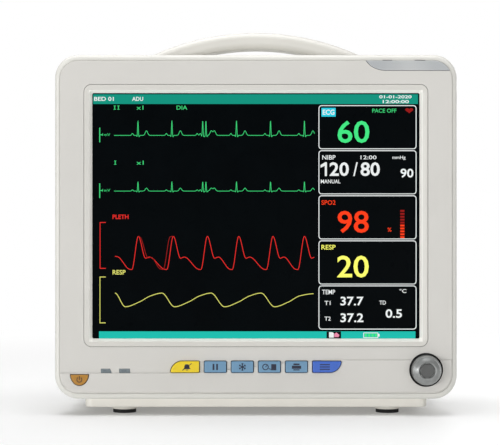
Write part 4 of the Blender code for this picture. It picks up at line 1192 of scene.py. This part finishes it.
def pictograms():
    bell = [(-2.2, -1.2), (2.2, -1.2), (1.5, -0.5), (1.4, 0.6), (0.8, 1.5)]
    bell += [(-0.8, 1.5), (-1.4, 0.6), (-1.5, -0.5)]
    cuff = ring_parts(-2.2, 0, 1.8, 0.5, 0, 360) + [stroke((-2.2, 0), (-1.3, 0.9), 0.4)]
    cuff += [stroke((-0.5, -0.9), (1, -1.3), 0.45), rectangle(1, 3.8, -1.8, 1.6)]
    printer = [rectangle(-2.6, 2.6, -1, 0.7), rectangle(-1.7, 1.7, 1, 1.9), rectangle(-1.7, 1.7, -1.9, -1.3)]
    bars = ((1.0, 1.55), (-0.28, 0.28), (-1.55, -1.0))
    return {
        "silence_key": [bell, rectangle(-0.6, 0.6, -1.9, -1.45), stroke((-2.6, -2), (2.6, 2), 0.4)],
        "pause_key": [rectangle(-1.5, -0.5, -1.7, 1.7), rectangle(0.5, 1.5, -1.7, 1.7)],
        "freeze_key": snowflake(),
        "pressure_key": cuff,
        "print_key": printer,
        "menu_key": [rectangle(-2.8, 2.8, *heights) for heights in bars],
    }


def keys():
    marks = pictograms()
    for name, slot, colour in KEYS:
        x, y, z = key_place(name)
        button(name, slot, key_outline(name), (x, y, z), key_material(f"{name}_plastic", colour))
        larger = [[(u * MARK_SCALE, v * MARK_SCALE) for u, v in outline] for outline in marks[name]]
        place = (x + MARK_SHIFTS.get(name, 0), y, z)
        symbols(f"{name}_symbol", larger, KEY_FRONT_Y, place, slot, name)


def power_button():
    node = "power_button"
    slot = "power_orange"
    button(node, slot, power_outline(), POWER_PLACE, key_material("power_plastic", shade(165, 116, 36)))
    mark = ring_parts(0, -4.1, 2.2, 0.7, 125, 415) + [rectangle(-0.36, 0.36, -4.3, -1.4)]
    symbols("power_button_symbol", mark, low(node).y, POWER_PLACE, slot, node, shade(58, 38, 20))


def status_lights():
    for i, name in enumerate(LIGHTS):
        outline = light_outline(name)
        front = low(name).y
        sections = ((front, grown(outline, -0.25)), (front + 0.2, outline), (high(name).y, outline))
        tinted = moulded(f"window_{i}", shade(108, 118, 122), 0.3, 0.5, 0.006).material
        place = light_place(name)
        window = solid(f"status_window_{i + 1}", stacked, "Y", sections, place, material=tinted)
        settle(window, CASE, "light_guide", name)
    plug = [rectangle(-2, 0.6, 1.0, 2.1), rectangle(0.6, 1.8, 1.15, 1.4), rectangle(0.6, 1.8, 1.7, 1.95)]
    cell = [rectangle(-2, 1.6, 1.0, 2.1), rectangle(1.6, 2.1, 1.3, 1.8)]
    for name, shapes in zip(LIGHTS, (plug, cell)):
        x, y, z = light_place(name)
        place = (x - LIGHT_MARK_SHIFT, y, z)
        symbols(f"{name}_symbol", shapes, low(name).y, place, "light_guide", CASE, LIGHT_INK)


keys()
power_button()
status_lights()


# ---------------- control knob

KNOB_PAD_SHARE = 0.46
KNOB_BORE = 3.3
WASHER_THICKNESS = 0.9
# The knob's side from its pad to its grip: (share of the radius, depth behind the front).
KNOB_SIDE = (
    (0.49, 0.3), (0.52, 0.02), (0.56, 0.08), (0.62, 0.42), (0.68, 0.84), (0.74, 1.3), (0.79, 1.75),
    (0.815, 1.85), (0.84, 1.82), (0.865, 1.95), (0.885, 2.3), (0.9, 3.0), (0.915, 3.9), (0.925, 5.2),
)


def control_knob():
    node = "control_knob"
    radius = high(node).x - KNOB_PLACE[0]
    front = low(node).y
    back = high(node).y
    profile = [(front + 1.4, 0), (front + 1.4, KNOB_PAD_SHARE * radius)]
    profile += [(front + depth, share * radius) for share, depth in KNOB_SIDE]
    profile += [(back - 0.3, 0.935 * radius), (back, 0.92 * radius)]
    profile += [(back, KNOB_BORE), (front + 3, KNOB_BORE), (front + 3, 0)]
    effects = ((3, 0.12), (1.5, 0.06), (0.25, 0.02))
    grey = textured("knob_plastic", shade(140, 142, 141), 0.34, *effects, metallic=0.45).material
    knob = solid("knob_body", turned, "Y", profile, 96, KNOB_PLACE, material=grey)
    settle(knob, "control", "knob_grey", node)
    outline = arc(0, 0, KNOB_PAD_SHARE * radius, -67.5, 247.5, 7)
    sections = rims(outline, quarter_round(front + 0.35, 0.9, 0.6, 4)) + [(front + 1.8, outline)]
    dark = moulded("knob_pad_plastic", shade(76, 77, 76), 0.42, 0.4, 0.012).material
    pad = solid("knob_pad", stacked, "Y", sections, KNOB_PLACE, material=dark)
    settle(pad, "control", "knob_grey")
    # A black rubber washer in the well, whose dark colour is painted shade for the gap round the knob.
    radii = (BUSH_RADIUS + 0.3, WELL_RADIUS - 0.05)
    span = (KNOB_WELL_Y - WASHER_THICKNESS, KNOB_WELL_Y - 0.02)
    gap_shade_washer = solid("knob_washer", sleeve, "Y", *radii, *span, 64, KNOB_PLACE, material=RUBBER)
    settle(gap_shade_washer, CASE, "rubber_black")


control_knob()


# ---------------- handle, base and feet

HANDLE_OUTER = 196
HANDLE_INNER = 183
HANDLE_EDGE = 5
BASE_CORNER = 6
INSERT_X = 50
INSERT_Y = 40
INSERT_RADIUS = 2.1
INSERT_DEPTH = 5
FOOT_TAPER = 1.6


def carrying_handle():
    node = "carrying_handle"
    centre = high(node).z - HANDLE_OUTER
    seat = low(node).z - centre
    pairs = quarter_round(low(node).y, HANDLE_EDGE, HANDLE_EDGE, 8)
    pairs += far_round(high(node).y, HANDLE_EDGE, HANDLE_EDGE, 8)
    sections = []
    for inset, y in pairs:
        far = HANDLE_OUTER - inset
        near = HANDLE_INNER + inset
        far_deg = math.degrees(math.asin(seat / far))
        near_deg = math.degrees(math.asin(seat / near))
        outline = arc(0, 0, far, far_deg, 180 - far_deg, 72)
        sections.append((y, outline + arc(0, 0, near, 180 - near_deg, near_deg, 72)))
    handle = solid("handle_bow", stacked, "Y", sections, (0, 0, centre), material=HANDLE_WHITE)
    settle(handle, CASE, "handle_white", node, angle=40)


def base_tray():
    node = "base_tray"
    bottom = low(node).z
    outline = rounded_outline(low(node).x, high(node).x, low(node).y, high(node).y, BASE_CORNER)
    sections = rims(outline, quarter_round(bottom, 1, 1, 4)) + [(high(node).z, outline)]
    tray = solid("base_moulding", stacked, "Z", sections, material=BASE_WHITE)
    holes = bmesh.new()
    inserts = bmesh.new()
    for x in (-INSERT_X, INSERT_X):
        for y in (-INSERT_Y, INSERT_Y):
            place = (x, middle(node).y + y, 0)
            rod(holes, "Z", INSERT_RADIUS, bottom - WALL, bottom + INSERT_DEPTH, 24, place)
            span = (bottom + 0.2, bottom + INSERT_DEPTH - 0.2)
            sleeve(inserts, "Z", 1.5, INSERT_RADIUS - 0.05, *span, 24, place)
    carve(tray, make("cut_inserts", holes))
    settle(tray, CASE, "base_white", node, edge=0.25)
    settle(make("base_inserts", inserts, BRASS), CASE, "base_white")


def feet():
    for corner in ("front_left", "front_right", "rear_left", "rear_right"):
        node = f"foot_holder_{corner}"
        place = off_axis(node, "Z")
        bottom = low(node).z
        top = high(node).z
        wide = high(node).x - place[0]
        narrow = wide - FOOT_TAPER
        profile = ((bottom, 0), (bottom, narrow - 0.3), (bottom + 0.3, narrow), (top, wide), (top, 0))
        holder = solid(f"{node}_moulding", turned, "Z", profile, 48, place, material=BASE_WHITE)
        settle(holder, CASE, "base_white", node)
        node = f"foot_pad_{corner}"
        bottom = low(node).z
        top = high(node).z
        radius = high(node).x - place[0]
        profile = [(bottom, 0)] + rim_profile(radius, quarter_round(bottom, 0.5, 0.5, 4))
        profile += [(top, radius), (top, 0)]
        pad = solid(f"{node}_rubber", turned, "Z", profile, 48, place, material=RUBBER)
        settle(pad, CASE, "rubber_black", node)


carrying_handle()
base_tray()
feet()


# ---------------- left side: parameter sockets

PANEL_FACE_X = low("socket_panel").x
PANEL_CORNER = 2
SOCKET_BROWN = shade(134, 84, 60)
BORE_DEPTH = 14
MARK_OFFSET_Y = -16.2
# A stepped nipple for the cuff hose: (along, radius).
NIPPLE = ((0, 0.9), (0, 1.7), (1.2, 2.3), (1.2, 1.9), (4, 2.2), (4, 1.9), (13.8, 1.9), (13.8, 0.9))
# Each socket: (node, slot, bore radius, ring colour, pins as (circle radius, count)).
SOCKETS = (
    ("ecg_socket", "socket_green", 8.5, shade(70, 150, 104), ((5, 8), (2.2, 4))),
    ("spo2_socket", "socket_blue", 6.5, shade(62, 108, 176), ((3.8, 6), (0, 1))),
    ("temperature_socket_1", "socket_brown", 3.3, SOCKET_BROWN, ((0, 1),)),
    ("temperature_socket_2", "socket_brown", 3.3, SOCKET_BROWN, ((0, 1),)),
    ("cuff_hose_port", "socket_black", 3, shade(186, 188, 188), ()),
)


def socket_contacts(node, slot, bore, pins):
    """The brass pins in a socket's bore, and the key that keeps its plug the right way round."""
    _, y, z = off_axis(node, "X")
    outer = low(node).x
    floor_x = outer + BORE_DEPTH - 0.1
    pin = [(outer + 5, 0), (outer + 5.2, 0.4), (outer + 5.6, 0.55), (floor_x, 0.55), (floor_x, 0)]
    contacts = bmesh.new()
    for radius, count in pins:
        for i in range(count):
            angle = 2 * math.pi * (i + 0.5) / count
            at = (0, y + radius * math.cos(angle), z + radius * math.sin(angle))
            turned(contacts, "X", pin, 12, at)
    settle(make(f"{node}_pins", contacts, BRASS), CASE, slot)
    half = 0.12 * bore
    ranges = ((outer + 1.2, floor_x), (y - half, y + half), (z + 0.8 * bore, z + 1.02 * bore))
    settle(solid(f"{node}_key", block, *ranges, material=SOCKET_BLACK), CASE, slot)


def socket(node, slot, bore, ring_colour, pins):
    place = off_axis(node, "X")
    outer = low(node).x
    inner = high(node).x
    flange = high(node).z - place[2]
    neck = flange - 2
    profile = [(inner, 0), (inner, neck), (PANEL_FACE_X - GAP, neck), (PANEL_FACE_X - GAP, flange)]
    profile += rim_profile(flange, quarter_round(outer, 1, 1.2, 4)[::-1])
    profile += [(outer, bore + 0.5), (outer + 0.5, bore), (outer + BORE_DEPTH, bore), (outer + BORE_DEPTH, 0)]
    shell = solid(f"{node}_shell", turned, "X", profile, 48, place, material=SOCKET_BLACK)
    settle(shell, CASE, slot, node)
    colour = moulded(f"{node}_band_plastic", ring_colour, 0.4, 0.3, 0.008).material
    radii = (bore + 0.25 * (flange - bore), bore + 0.6 * (flange - bore))
    span = (outer - 0.12, outer + 0.5)
    settle(solid(f"{node}_band", sleeve, "X", *radii, *span, 48, place, material=colour), CASE, slot)
    if pins:
        socket_contacts(node, slot, bore, pins)
        return
    profile = [(outer + along, radius) for along, radius in NIPPLE]
    nipple = solid(f"{node}_nipple", turned, "X", profile, 32, place, is_ring=True, material=STEEL)
    settle(nipple, CASE, slot)


def panel_marks():
    """Small printed symbols beside the sockets."""
    drop = [(0, 2.2)] + arc(0, -0.5, 1.5, 30, -210, 12)
    thermometer = [(-0.5, 2.2), (-0.5, -0.8), (-1, -1.6), (-0.5, -2.3)]
    thermometer += [(-u, v) for u, v in reversed(thermometer)]
    marks = {
        "ecg_socket": heart_shape(0, 0, 4.6, 4.2),
        "spo2_socket": drop[::-1],
        "temperature_socket_1": thermometer,
        "temperature_socket_2": thermometer,
        "cuff_hose_port": rectangle(-2, 2, -1.4, 1.4),
    }
    bm = bmesh.new()
    for node, outline in marks.items():
        mirrored = [(MARK_OFFSET_Y - u, v) for u, v in outline]
        prism(bm, "X", mirrored, PANEL_FACE_X - 0.04, PANEL_FACE_X + 0.2, off_axis(node, "X"))
    hang(make("panel_symbols", bm, ink("panel", shade(70, 74, 80))), CASE, "plate_grey")


def socket_panel():
    node = "socket_panel"
    ranges = list(zip(low(node), high(node)))
    plate = solid("panel_plate", block, *ranges, PANEL_CORNER, "X", material=PANEL_GREY)
    holes = bmesh.new()
    for name, *_ in SOCKETS:
        place = off_axis(name, "X")
        neck = high(name).z - place[2] - 1.7
        rod(holes, "X", neck, low(node).x - WALL, high(node).x + WALL, 32, place)
    carve(plate, make("cut_sockets", holes))
    settle(plate, CASE, "plate_grey", node)


for row in SOCKETS:
    socket(*row)
socket_panel()
panel_marks()


# ---------------- right side: strip recorder

DOOR_THICKNESS = 3.1
LUG_HALF_WIDTH = 3
LUG_WIDTH = 2.2
LUG_CORNER = 1
LATCH_FLANGE = 1.2
LATCH_CORNER = 1.5
LATCH_HOLE_CORNER = 1.45
RIB_PITCH = 2.2
WINDOW_FOOT = (12, 30)
WINDOW_MARGIN = 8
WINDOW_DEPTH = 0.7
WINDOW_CORNER = 2
PANE_GAP = 0.2
TOOTH_COUNT = 28
PLATEN_PIN = 1.5
PLATEN_BORE = 1.8
PLATEN_GROOVE = 0.12
PLATEN_END = 2.6
PLATEN_RIBS = 46
PAPER_CORE = 6.5


def door_panel(name, axis, ends, end_edge, outside, bottom, top, top_edge):
    """A door drawn from the side: a round foot about its hinge, and rounded ends and top."""
    half = DOOR_THICKNESS / 2
    inside = outside - DOOR_THICKNESS
    side_view = arc(outside - half, bottom + half, half, 180, 360, 16)
    side_view += arc(outside - top_edge, top - top_edge, top_edge, 0, 90, 5)
    side_view += arc(inside + 0.3, top - 0.3, 0.3, 90, 180, 3)
    pairs = quarter_round(ends[0], end_edge, end_edge, 4) + far_round(ends[1], end_edge, end_edge, 4)
    return solid(name, stacked, axis, rims(side_view, pairs), material=WHITE)


def recorder_door():
    node = "recorder_door"
    ends = (low(node).y, high(node).y)
    outside = high(node).x
    inside = outside - DOOR_THICKNESS
    hinge_z = low(node).z + DOOR_THICKNESS / 2
    door = door_panel("recorder_door_panel", "Y", ends, 0.6, outside, low(node).z, high(node).z, 0.9)
    place = off_axis("platen_roller", "Y")
    x_range = (place[0] - LUG_HALF_WIDTH, inside + DOOR_THICKNESS / 2)
    z_range = (place[2] - LUG_HALF_WIDTH, place[2] + LUG_HALF_WIDTH)
    near = low("platen_roller").y + 0.1
    far = high("platen_roller").y - 0.1
    lugs = []
    for y_range in ((near, near + LUG_WIDTH), (far - LUG_WIDTH, far)):
        lugs.append(solid("lug", block, x_range, y_range, z_range, LUG_CORNER, "Y"))
    carve(door, *lugs, operation="UNION")
    cuts = bmesh.new()
    rod(cuts, "Y", PLATEN_BORE, ends[0] - WALL, ends[1] + WALL, 24, place)
    margin = LATCH_FLANGE - GAP
    latch_y = (low("recorder_latch").y + margin, high("recorder_latch").y - margin)
    latch_z = (low("recorder_latch").z + margin, high("recorder_latch").z - margin)
    block(cuts, (inside - WALL, outside + WALL), latch_y, latch_z, LATCH_HOLE_CORNER, "X")
    window_y = (ends[0] + WINDOW_MARGIN, ends[1] - WINDOW_MARGIN)
    window_z = (hinge_z + WINDOW_FOOT[0], hinge_z + WINDOW_FOOT[1])
    block(cuts, (outside - WINDOW_DEPTH, outside + WALL), window_y, window_z, WINDOW_CORNER, "X")
    carve(door, make("cut_door", cuts))
    settle(door, "recorder_door", "case_white", node, edge=0.2)
    ranges = [(outside - WINDOW_DEPTH + 0.02, outside - PANE_GAP)]
    ranges += [(start + PANE_GAP, end - PANE_GAP) for start, end in (window_y, window_z)]
    pane = solid("recorder_window", block, *ranges, WINDOW_CORNER - PANE_GAP, "X", material=SMOKED)
    settle(pane, "recorder_door", "case_white")


def recorder_latch():
    node = "recorder_latch"
    _, y, z = off_axis(node, "X")
    rear = low(node).x
    front = high(node).x
    half_width = high(node).y - y - LATCH_FLANGE
    half_height = high(node).z - z - LATCH_FLANGE
    cap = centred_outline(half_width, half_height, LATCH_CORNER, 6)
    flange = grown(cap, LATCH_FLANGE)
    sections = [(rear, flange), (rear + LATCH_FLANGE, flange), (rear + LATCH_FLANGE, cap)]
    sections += rims(cap, far_round(front, 0.5, 0.5, 4))
    latch = solid("recorder_latch_button", stacked, "X", sections, (0, y, z), material=BAY_GREY)
    ribs = bmesh.new()
    for along in spread(5, RIB_PITCH):
        y_range = (y + along - 0.4, y + along + 0.4)
        block(ribs, (front - 0.3, front + WALL), y_range, (z - 2.6, z + 2.6), 0.35, "X")
    carve(latch, make("cut_ribs", ribs))
    settle(latch, "recorder_latch", "recorder_grey", node)


def print_head():
    node = "print_head"
    lower = low(node)
    upper = high(node)
    side_view = [(lower.x, lower.z), (upper.x, lower.z)]
    side_view += arc(upper.x - 1, upper.z - 1, 1, 0, 90, 6) + [(lower.x, upper.z)]
    cover = solid("print_head_cover", prism, "Y", side_view, lower.y, upper.y, material=WHITE)
    settle(cover, CASE, "recorder_grey", node, edge=0.3)
    left = lower.y + 2
    right = upper.y - 2
    pitch = (right - left) / TOOTH_COUNT
    outline = [(left, lower.z + 1.6)]
    for i in range(TOOTH_COUNT):
        y = left + pitch * i
        outline += [(y + 0.02, lower.z + 0.1), (y + pitch / 2, lower.z - 0.7)]
    outline += [(right, lower.z + 0.1), (right, lower.z + 1.6)]
    teeth = solid("tear_bar", prism, "X", outline, upper.x - 0.25, upper.x + 0.15, material=STEEL)
    settle(teeth, CASE, "recorder_grey")


def platen_roller():
    node = "platen_roller"
    place = off_axis(node, "Y")
    left = low(node).y
    right = high(node).y
    radius = high(node).z - place[2]
    start = left + PLATEN_END
    end = right - PLATEN_END
    step = (end - start) / PLATEN_RIBS
    profile = [(left, 0), (left, PLATEN_PIN - 0.2), (left + 0.2, PLATEN_PIN), (start, PLATEN_PIN)]
    for i in range(PLATEN_RIBS):
        y = start + step * i
        profile += [(y + 0.2 * step, radius - PLATEN_GROOVE), (y + 0.5 * step, radius)]
        profile.append((y + 0.8 * step, radius - PLATEN_GROOVE))
    profile += [(end, PLATEN_PIN), (right - 0.2, PLATEN_PIN), (right, PLATEN_PIN - 0.2), (right, 0)]
    roller = solid("platen_sleeve", turned, "Y", profile, 32, place, material=RUBBER)
    settle(roller, "platen", "rubber_black", node)


def paper_roll():
    node = "paper_roll"
    place = off_axis(node, "Y")
    left = low(node).y
    right = high(node).y
    radius = high(node).z - place[2]
    edge = 0.2
    profile = [(left + edge, PAPER_CORE), (left, PAPER_CORE + edge)]
    profile += [(left, radius - edge), (left + edge, radius)]
    profile += [(left + right - y, across) for y, across in reversed(profile)]
    coil = solid("paper_coil", turned, "Y", profile, 96, place, is_ring=True, material=PAPER)
    settle(coil, "paper_roll", "paper_white", node)


recorder_door()
recorder_latch()
print_head()
platen_roller()
paper_roll()


# ---------------- back: battery door, ports and screws

GRIP_HALF_WIDTH = 10
GRIP_DEPTH = 1.4
GRIP_DROP = (6.5, 2.5)
GRIP_CORNER = 1.9
RIB_HALF_WIDTH = 9
RIB_HALF_HEIGHT = 0.4
RIB_CORNER = 0.35
BATTERY_MARK_HEIGHT = 20
PORT_CORNER = 1
PLATE_FACE_Y = high("port_plate").y
INLET_BODY = (13.5, 10)
INLET_MOUTH = (11.2, 7.2)
INLET_DEPTH = 16
INLET_BEVEL = 3.6
NETWORK_BODY = (8, 6.8)
NETWORK_MOUTH = (6, 4.2)
NETWORK_DEPTH = 13
BLADES = ((-7, -1.5), (0, 2), (7, -1.5))
CONTACT_PITCH = 1.02
STUD_RADIUS = 3
THREAD_PITCH = 0.5
THREAD_DEPTH = 0.3
SCREW_EDGE = (1.6, 0.7)
CROSS_DEPTH = 0.85
SHANK_RADIUS = 1.4


def battery_door():
    node = "battery_door"
    x = middle(node).x
    bottom = low(node).z
    top = high(node).z
    outside = high(node).y
    ends = (low(node).x, high(node).x)
    door = door_panel("battery_door_panel", "X", ends, 0.5, outside, bottom, top, 0.7)
    cuts = bmesh.new()
    x_range = (x - GRIP_HALF_WIDTH, x + GRIP_HALF_WIDTH)
    z_range = (top - GRIP_DROP[0], top - GRIP_DROP[1])
    block(cuts, x_range, (outside - GRIP_DEPTH, outside + WALL), z_range, GRIP_CORNER, "Y")
    x_range = (x - RIB_HALF_WIDTH, x + RIB_HALF_WIDTH)
    for i in range(5):
        z = top - 10 - 1.8 * i
        z_range = (z - RIB_HALF_HEIGHT, z + RIB_HALF_HEIGHT)
        block(cuts, x_range, (outside - RIB_HALF_HEIGHT, outside + WALL), z_range, RIB_CORNER, "Y")
    carve(door, make("cut_grip", cuts))
    settle(door, "battery_door", "case_white", node, edge=0.2)
    z = bottom + BATTERY_MARK_HEIGHT
    depths = (outside - 0.1, outside + 0.03)
    outer = rounded_outline(x - 5, x + 5, z - 2.6, z + 2.6, 0.6, 4)
    bm = bmesh.new()
    band(bm, "Y", grown(outer, -0.45), outer, *depths)
    block(bm, (x + 5.15, x + 6), depths, (z - 1.2, z + 1.2))
    for i in range(3):
        left = x - 3.7 + 2.8 * i
        block(bm, (left, left + 1.8), depths, (z - 1.5, z + 1.5))
    symbol = make("battery_symbol", bm, ink("back", shade(150, 150, 146)))
    settle(symbol, "battery_door", "case_white")


def port(node, body_half, mouth, depth, slot, material):
    """A socket shell on the back plate, with a mouth cut into it."""
    back = high(node).y
    place = off_axis(node, "Y")
    flange = centred_outline(high(node).x - place[0], high(node).z - place[2], PORT_CORNER, 4)
    body = centred_outline(*body_half, PORT_CORNER, 4)
    flange_y = PLATE_FACE_Y + 0.05
    sections = [(low(node).y, body), (flange_y, body), (flange_y, flange)]
    sections += rims(flange, far_round(back, 0.5, 0.5, 4))
    shell = solid(f"{node}_shell", stacked, "Y", sections, place, material=material)
    carve(shell, solid("cut_mouth", prism, "Y", mouth, back - depth, back + WALL, place))
    settle(shell, CASE, slot, node, edge=0.15)


def mains_inlet():
    across, up = INLET_MOUTH
    mouth = [(-across, -up), (across, -up), (across, up - INLET_BEVEL), (across - INLET_BEVEL, up)]
    mouth += [(-across + INLET_BEVEL, up), (-across, up - INLET_BEVEL)]
    port("mains_inlet", INLET_BODY, mouth, INLET_DEPTH, "socket_black", SOCKET_BLACK)
    x, _, z = off_axis("mains_inlet", "Y")
    blade = centred_outline(1, 2, 0.4, 3)
    sections = ((58, blade), (67.4, blade), (68, pulled_in(blade, 0.35)))
    blades = bmesh.new()
    for u, v in BLADES:
        stacked(blades, "Y", sections, (x + u, 0, z + v))
    settle(make("mains_inlet_blades", blades, STEEL), CASE, "socket_black")


def network_port():
    across, up = NETWORK_MOUTH
    mouth = [(-across, up), (-across, -up), (-2, -up), (-2, -up - 1.4)]
    mouth += [(-u, v) for u, v in reversed(mouth)]
    port("network_port", NETWORK_BODY, mouth, NETWORK_DEPTH, "plate_grey", BAY_GREY)
    x, _, z = off_axis("network_port", "Y")
    contacts = bmesh.new()
    for u in spread(8, CONTACT_PITCH):
        block(contacts, (x + u - 0.2, x + u + 0.2), (63, 71.5), (z + up - 1.5, z + up - 1.1))
    settle(make("network_contacts", contacts, BRASS), CASE, "plate_grey")


def ground_stud():
    node = "ground_stud"
    start = low(node).y
    end = high(node).y
    nut = PLATE_FACE_Y + GAP
    wide = 2 * STUD_RADIUS
    profile = [(start, 0), (start, STUD_RADIUS - THREAD_DEPTH)]
    profile += [(start + THREAD_DEPTH, STUD_RADIUS), (nut, STUD_RADIUS)]
    profile += [(nut, wide - 0.2), (nut + 0.2, wide), (nut + 1.3, wide), (nut + 1.5, wide - 0.2)]
    profile.append((nut + 1.5, STUD_RADIUS))
    y = nut + 1.6
    while y < end - THREAD_PITCH:
        profile += [(y, STUD_RADIUS), (y + THREAD_PITCH / 2, STUD_RADIUS - THREAD_DEPTH)]
        profile.append((y + THREAD_PITCH, STUD_RADIUS))
        y += THREAD_PITCH
    profile += [(end - 0.1, STUD_RADIUS - 0.2), (end, STUD_RADIUS - 0.5), (end, 0)]
    stud = solid("ground_stud_thread", turned, "Y", profile, 32, off_axis(node, "Y"), material=STEEL)
    settle(stud, CASE, "steel", node)


def back_screws():
    for node in SCREWS:
        place = off_axis(node, "Y")
        front = low(node).y
        back = high(node).y
        head = high(node).x - place[0]
        seat = back - 1.1
        profile = [(front, 0), (front, SHANK_RADIUS), (seat, SHANK_RADIUS), (seat, head)]
        profile += rim_profile(head, far_round(back, *SCREW_EDGE)) + [(back, 0)]
        screw = solid(f"{node}_head", turned, "Y", profile, 32, place, material=STEEL)
        arm = 0.5 * head
        wide = 0.1 * head
        cross = []
        for turn in range(4):
            for u, v in ((-wide, -arm), (wide, -arm), (wide, -wide)):
                for _ in range(turn):
                    u, v = -v, u
                cross.append((u, v))
        carve(screw, solid("cut_cross", prism, "Y", cross, back - CROSS_DEPTH, back + WALL, place))
        settle(screw, CASE, "steel", node)


battery_door()
mains_inlet()
network_port()
ground_stud()
back_screws()


# ---------------- CAD nodes that stay

KEPT = (
    (DISPLAY_BLACK, ("lcd_panel",)),
    (BOARD, ("main_board", "keypad_board", "alarm_light_board")),
    (SHEET_STEEL, ("lcd_bracket", "encoder_body", "power_supply", "port_plate")),
    (STEEL, ("encoder_shaft", "encoder_plunger", "cuff_pump")),
    (BAY_GREY, ("recorder_frame", "paper_spindle", "battery_bay")),
    (RUBBER, ("speaker",)),
    (SOCKET_BLACK, ("battery_pack",)),
)
for material, nodes in KEPT:
    for node in nodes:
        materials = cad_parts[node].data.materials
        materials.clear()
        materials.append(material)


# ---------------- floor and light

FLOOR_RADIUS = 30
WORLD_LIGHT = 0.25


def floor_material():
    """A pale floor that brightens away from the object, so that no horizon shows."""
    finish = Finish("floor", (0.93, 0.93, 0.93, 1), 0.6, specular=0.2)
    finish.relief(finish.node("TexNoise", {"Scale": 180, "Vector": finish.place}).outputs["Fac"], 0.02)
    distance = finish.node("VectorMath", {0: finish.place}, operation="LENGTH").outputs["Value"]
    inputs = {"From Min": 0.12, "From Max": 1.0, "To Min": 0.14, "Value": distance}
    fade = finish.node("MapRange", inputs, interpolation_type="SMOOTHSTEP").outputs["Result"]
    glow = finish.node("Emission", {"Color": (1, 1, 1, 1), "Strength": 1.0}).outputs[0]
    mixed = finish.node("MixShader", {"Fac": fade, 1: finish.shader.outputs[0], 2: glow}).outputs[0]
    finish.links.new(mixed, finish.nodes["Material Output"].inputs["Surface"])
    return finish.material


floor_mesh = bmesh.new()
bmesh.ops.create_circle(floor_mesh, cap_ends=True, segments=96, radius=FLOOR_RADIUS)
make("floor", floor_mesh, floor_material())

world = bpy.data.worlds.new("studio")
world.use_nodes = True
bpy.context.scene.world = world
world_nodes = world.node_tree.nodes
world_links = world.node_tree.links
sky = world_nodes["Background"]
sky.inputs["Color"].default_value = (1, 1, 1, 1)
path = world_nodes.new("ShaderNodeLightPath")
level = world_nodes.new("ShaderNodeMapRange")
level.inputs["To Min"].default_value = WORLD_LIGHT
level.inputs["To Max"].default_value = 1.0
world_links.new(path.outputs["Is Camera Ray"], level.inputs["Value"])
world_links.new(level.outputs["Result"], sky.inputs["Strength"])


def area_light(name, location, target, width, height, power):
    data = bpy.data.lights.new(name, "AREA")
    data.shape = "RECTANGLE"
    data.size = width
    data.size_y = height
    data.energy = power
    light = bpy.data.objects.new(name, data)
    bpy.context.scene.collection.objects.link(light)
    light.location = location
    direction = [b - a for a, b in zip(location, target)]
    pitch = math.atan2(math.hypot(direction[0], direction[1]), -direction[2])
    light.rotation_euler = (pitch, 0, math.atan2(direction[0], -direction[1]) + math.pi)
    light.visible_camera = False


area_light("top_softbox", (-0.1, -0.1, 1.4), (0, 0, 0.1), 1.6, 1.2, 21)
area_light("front_softbox", (-1.8, -2.0, 0.13), (0, -0.06, 0.1), 1.6, 0.22, 29)
area_light("fill_softbox", (1.1, -2.0, 0.07), (0, -0.06, 0.08), 1.2, 0.1, 9)
area_light("rear_softbox", (0.9, 2.2, 0.6), (0, 0.06, 0.12), 1.6, 0.8, 16)
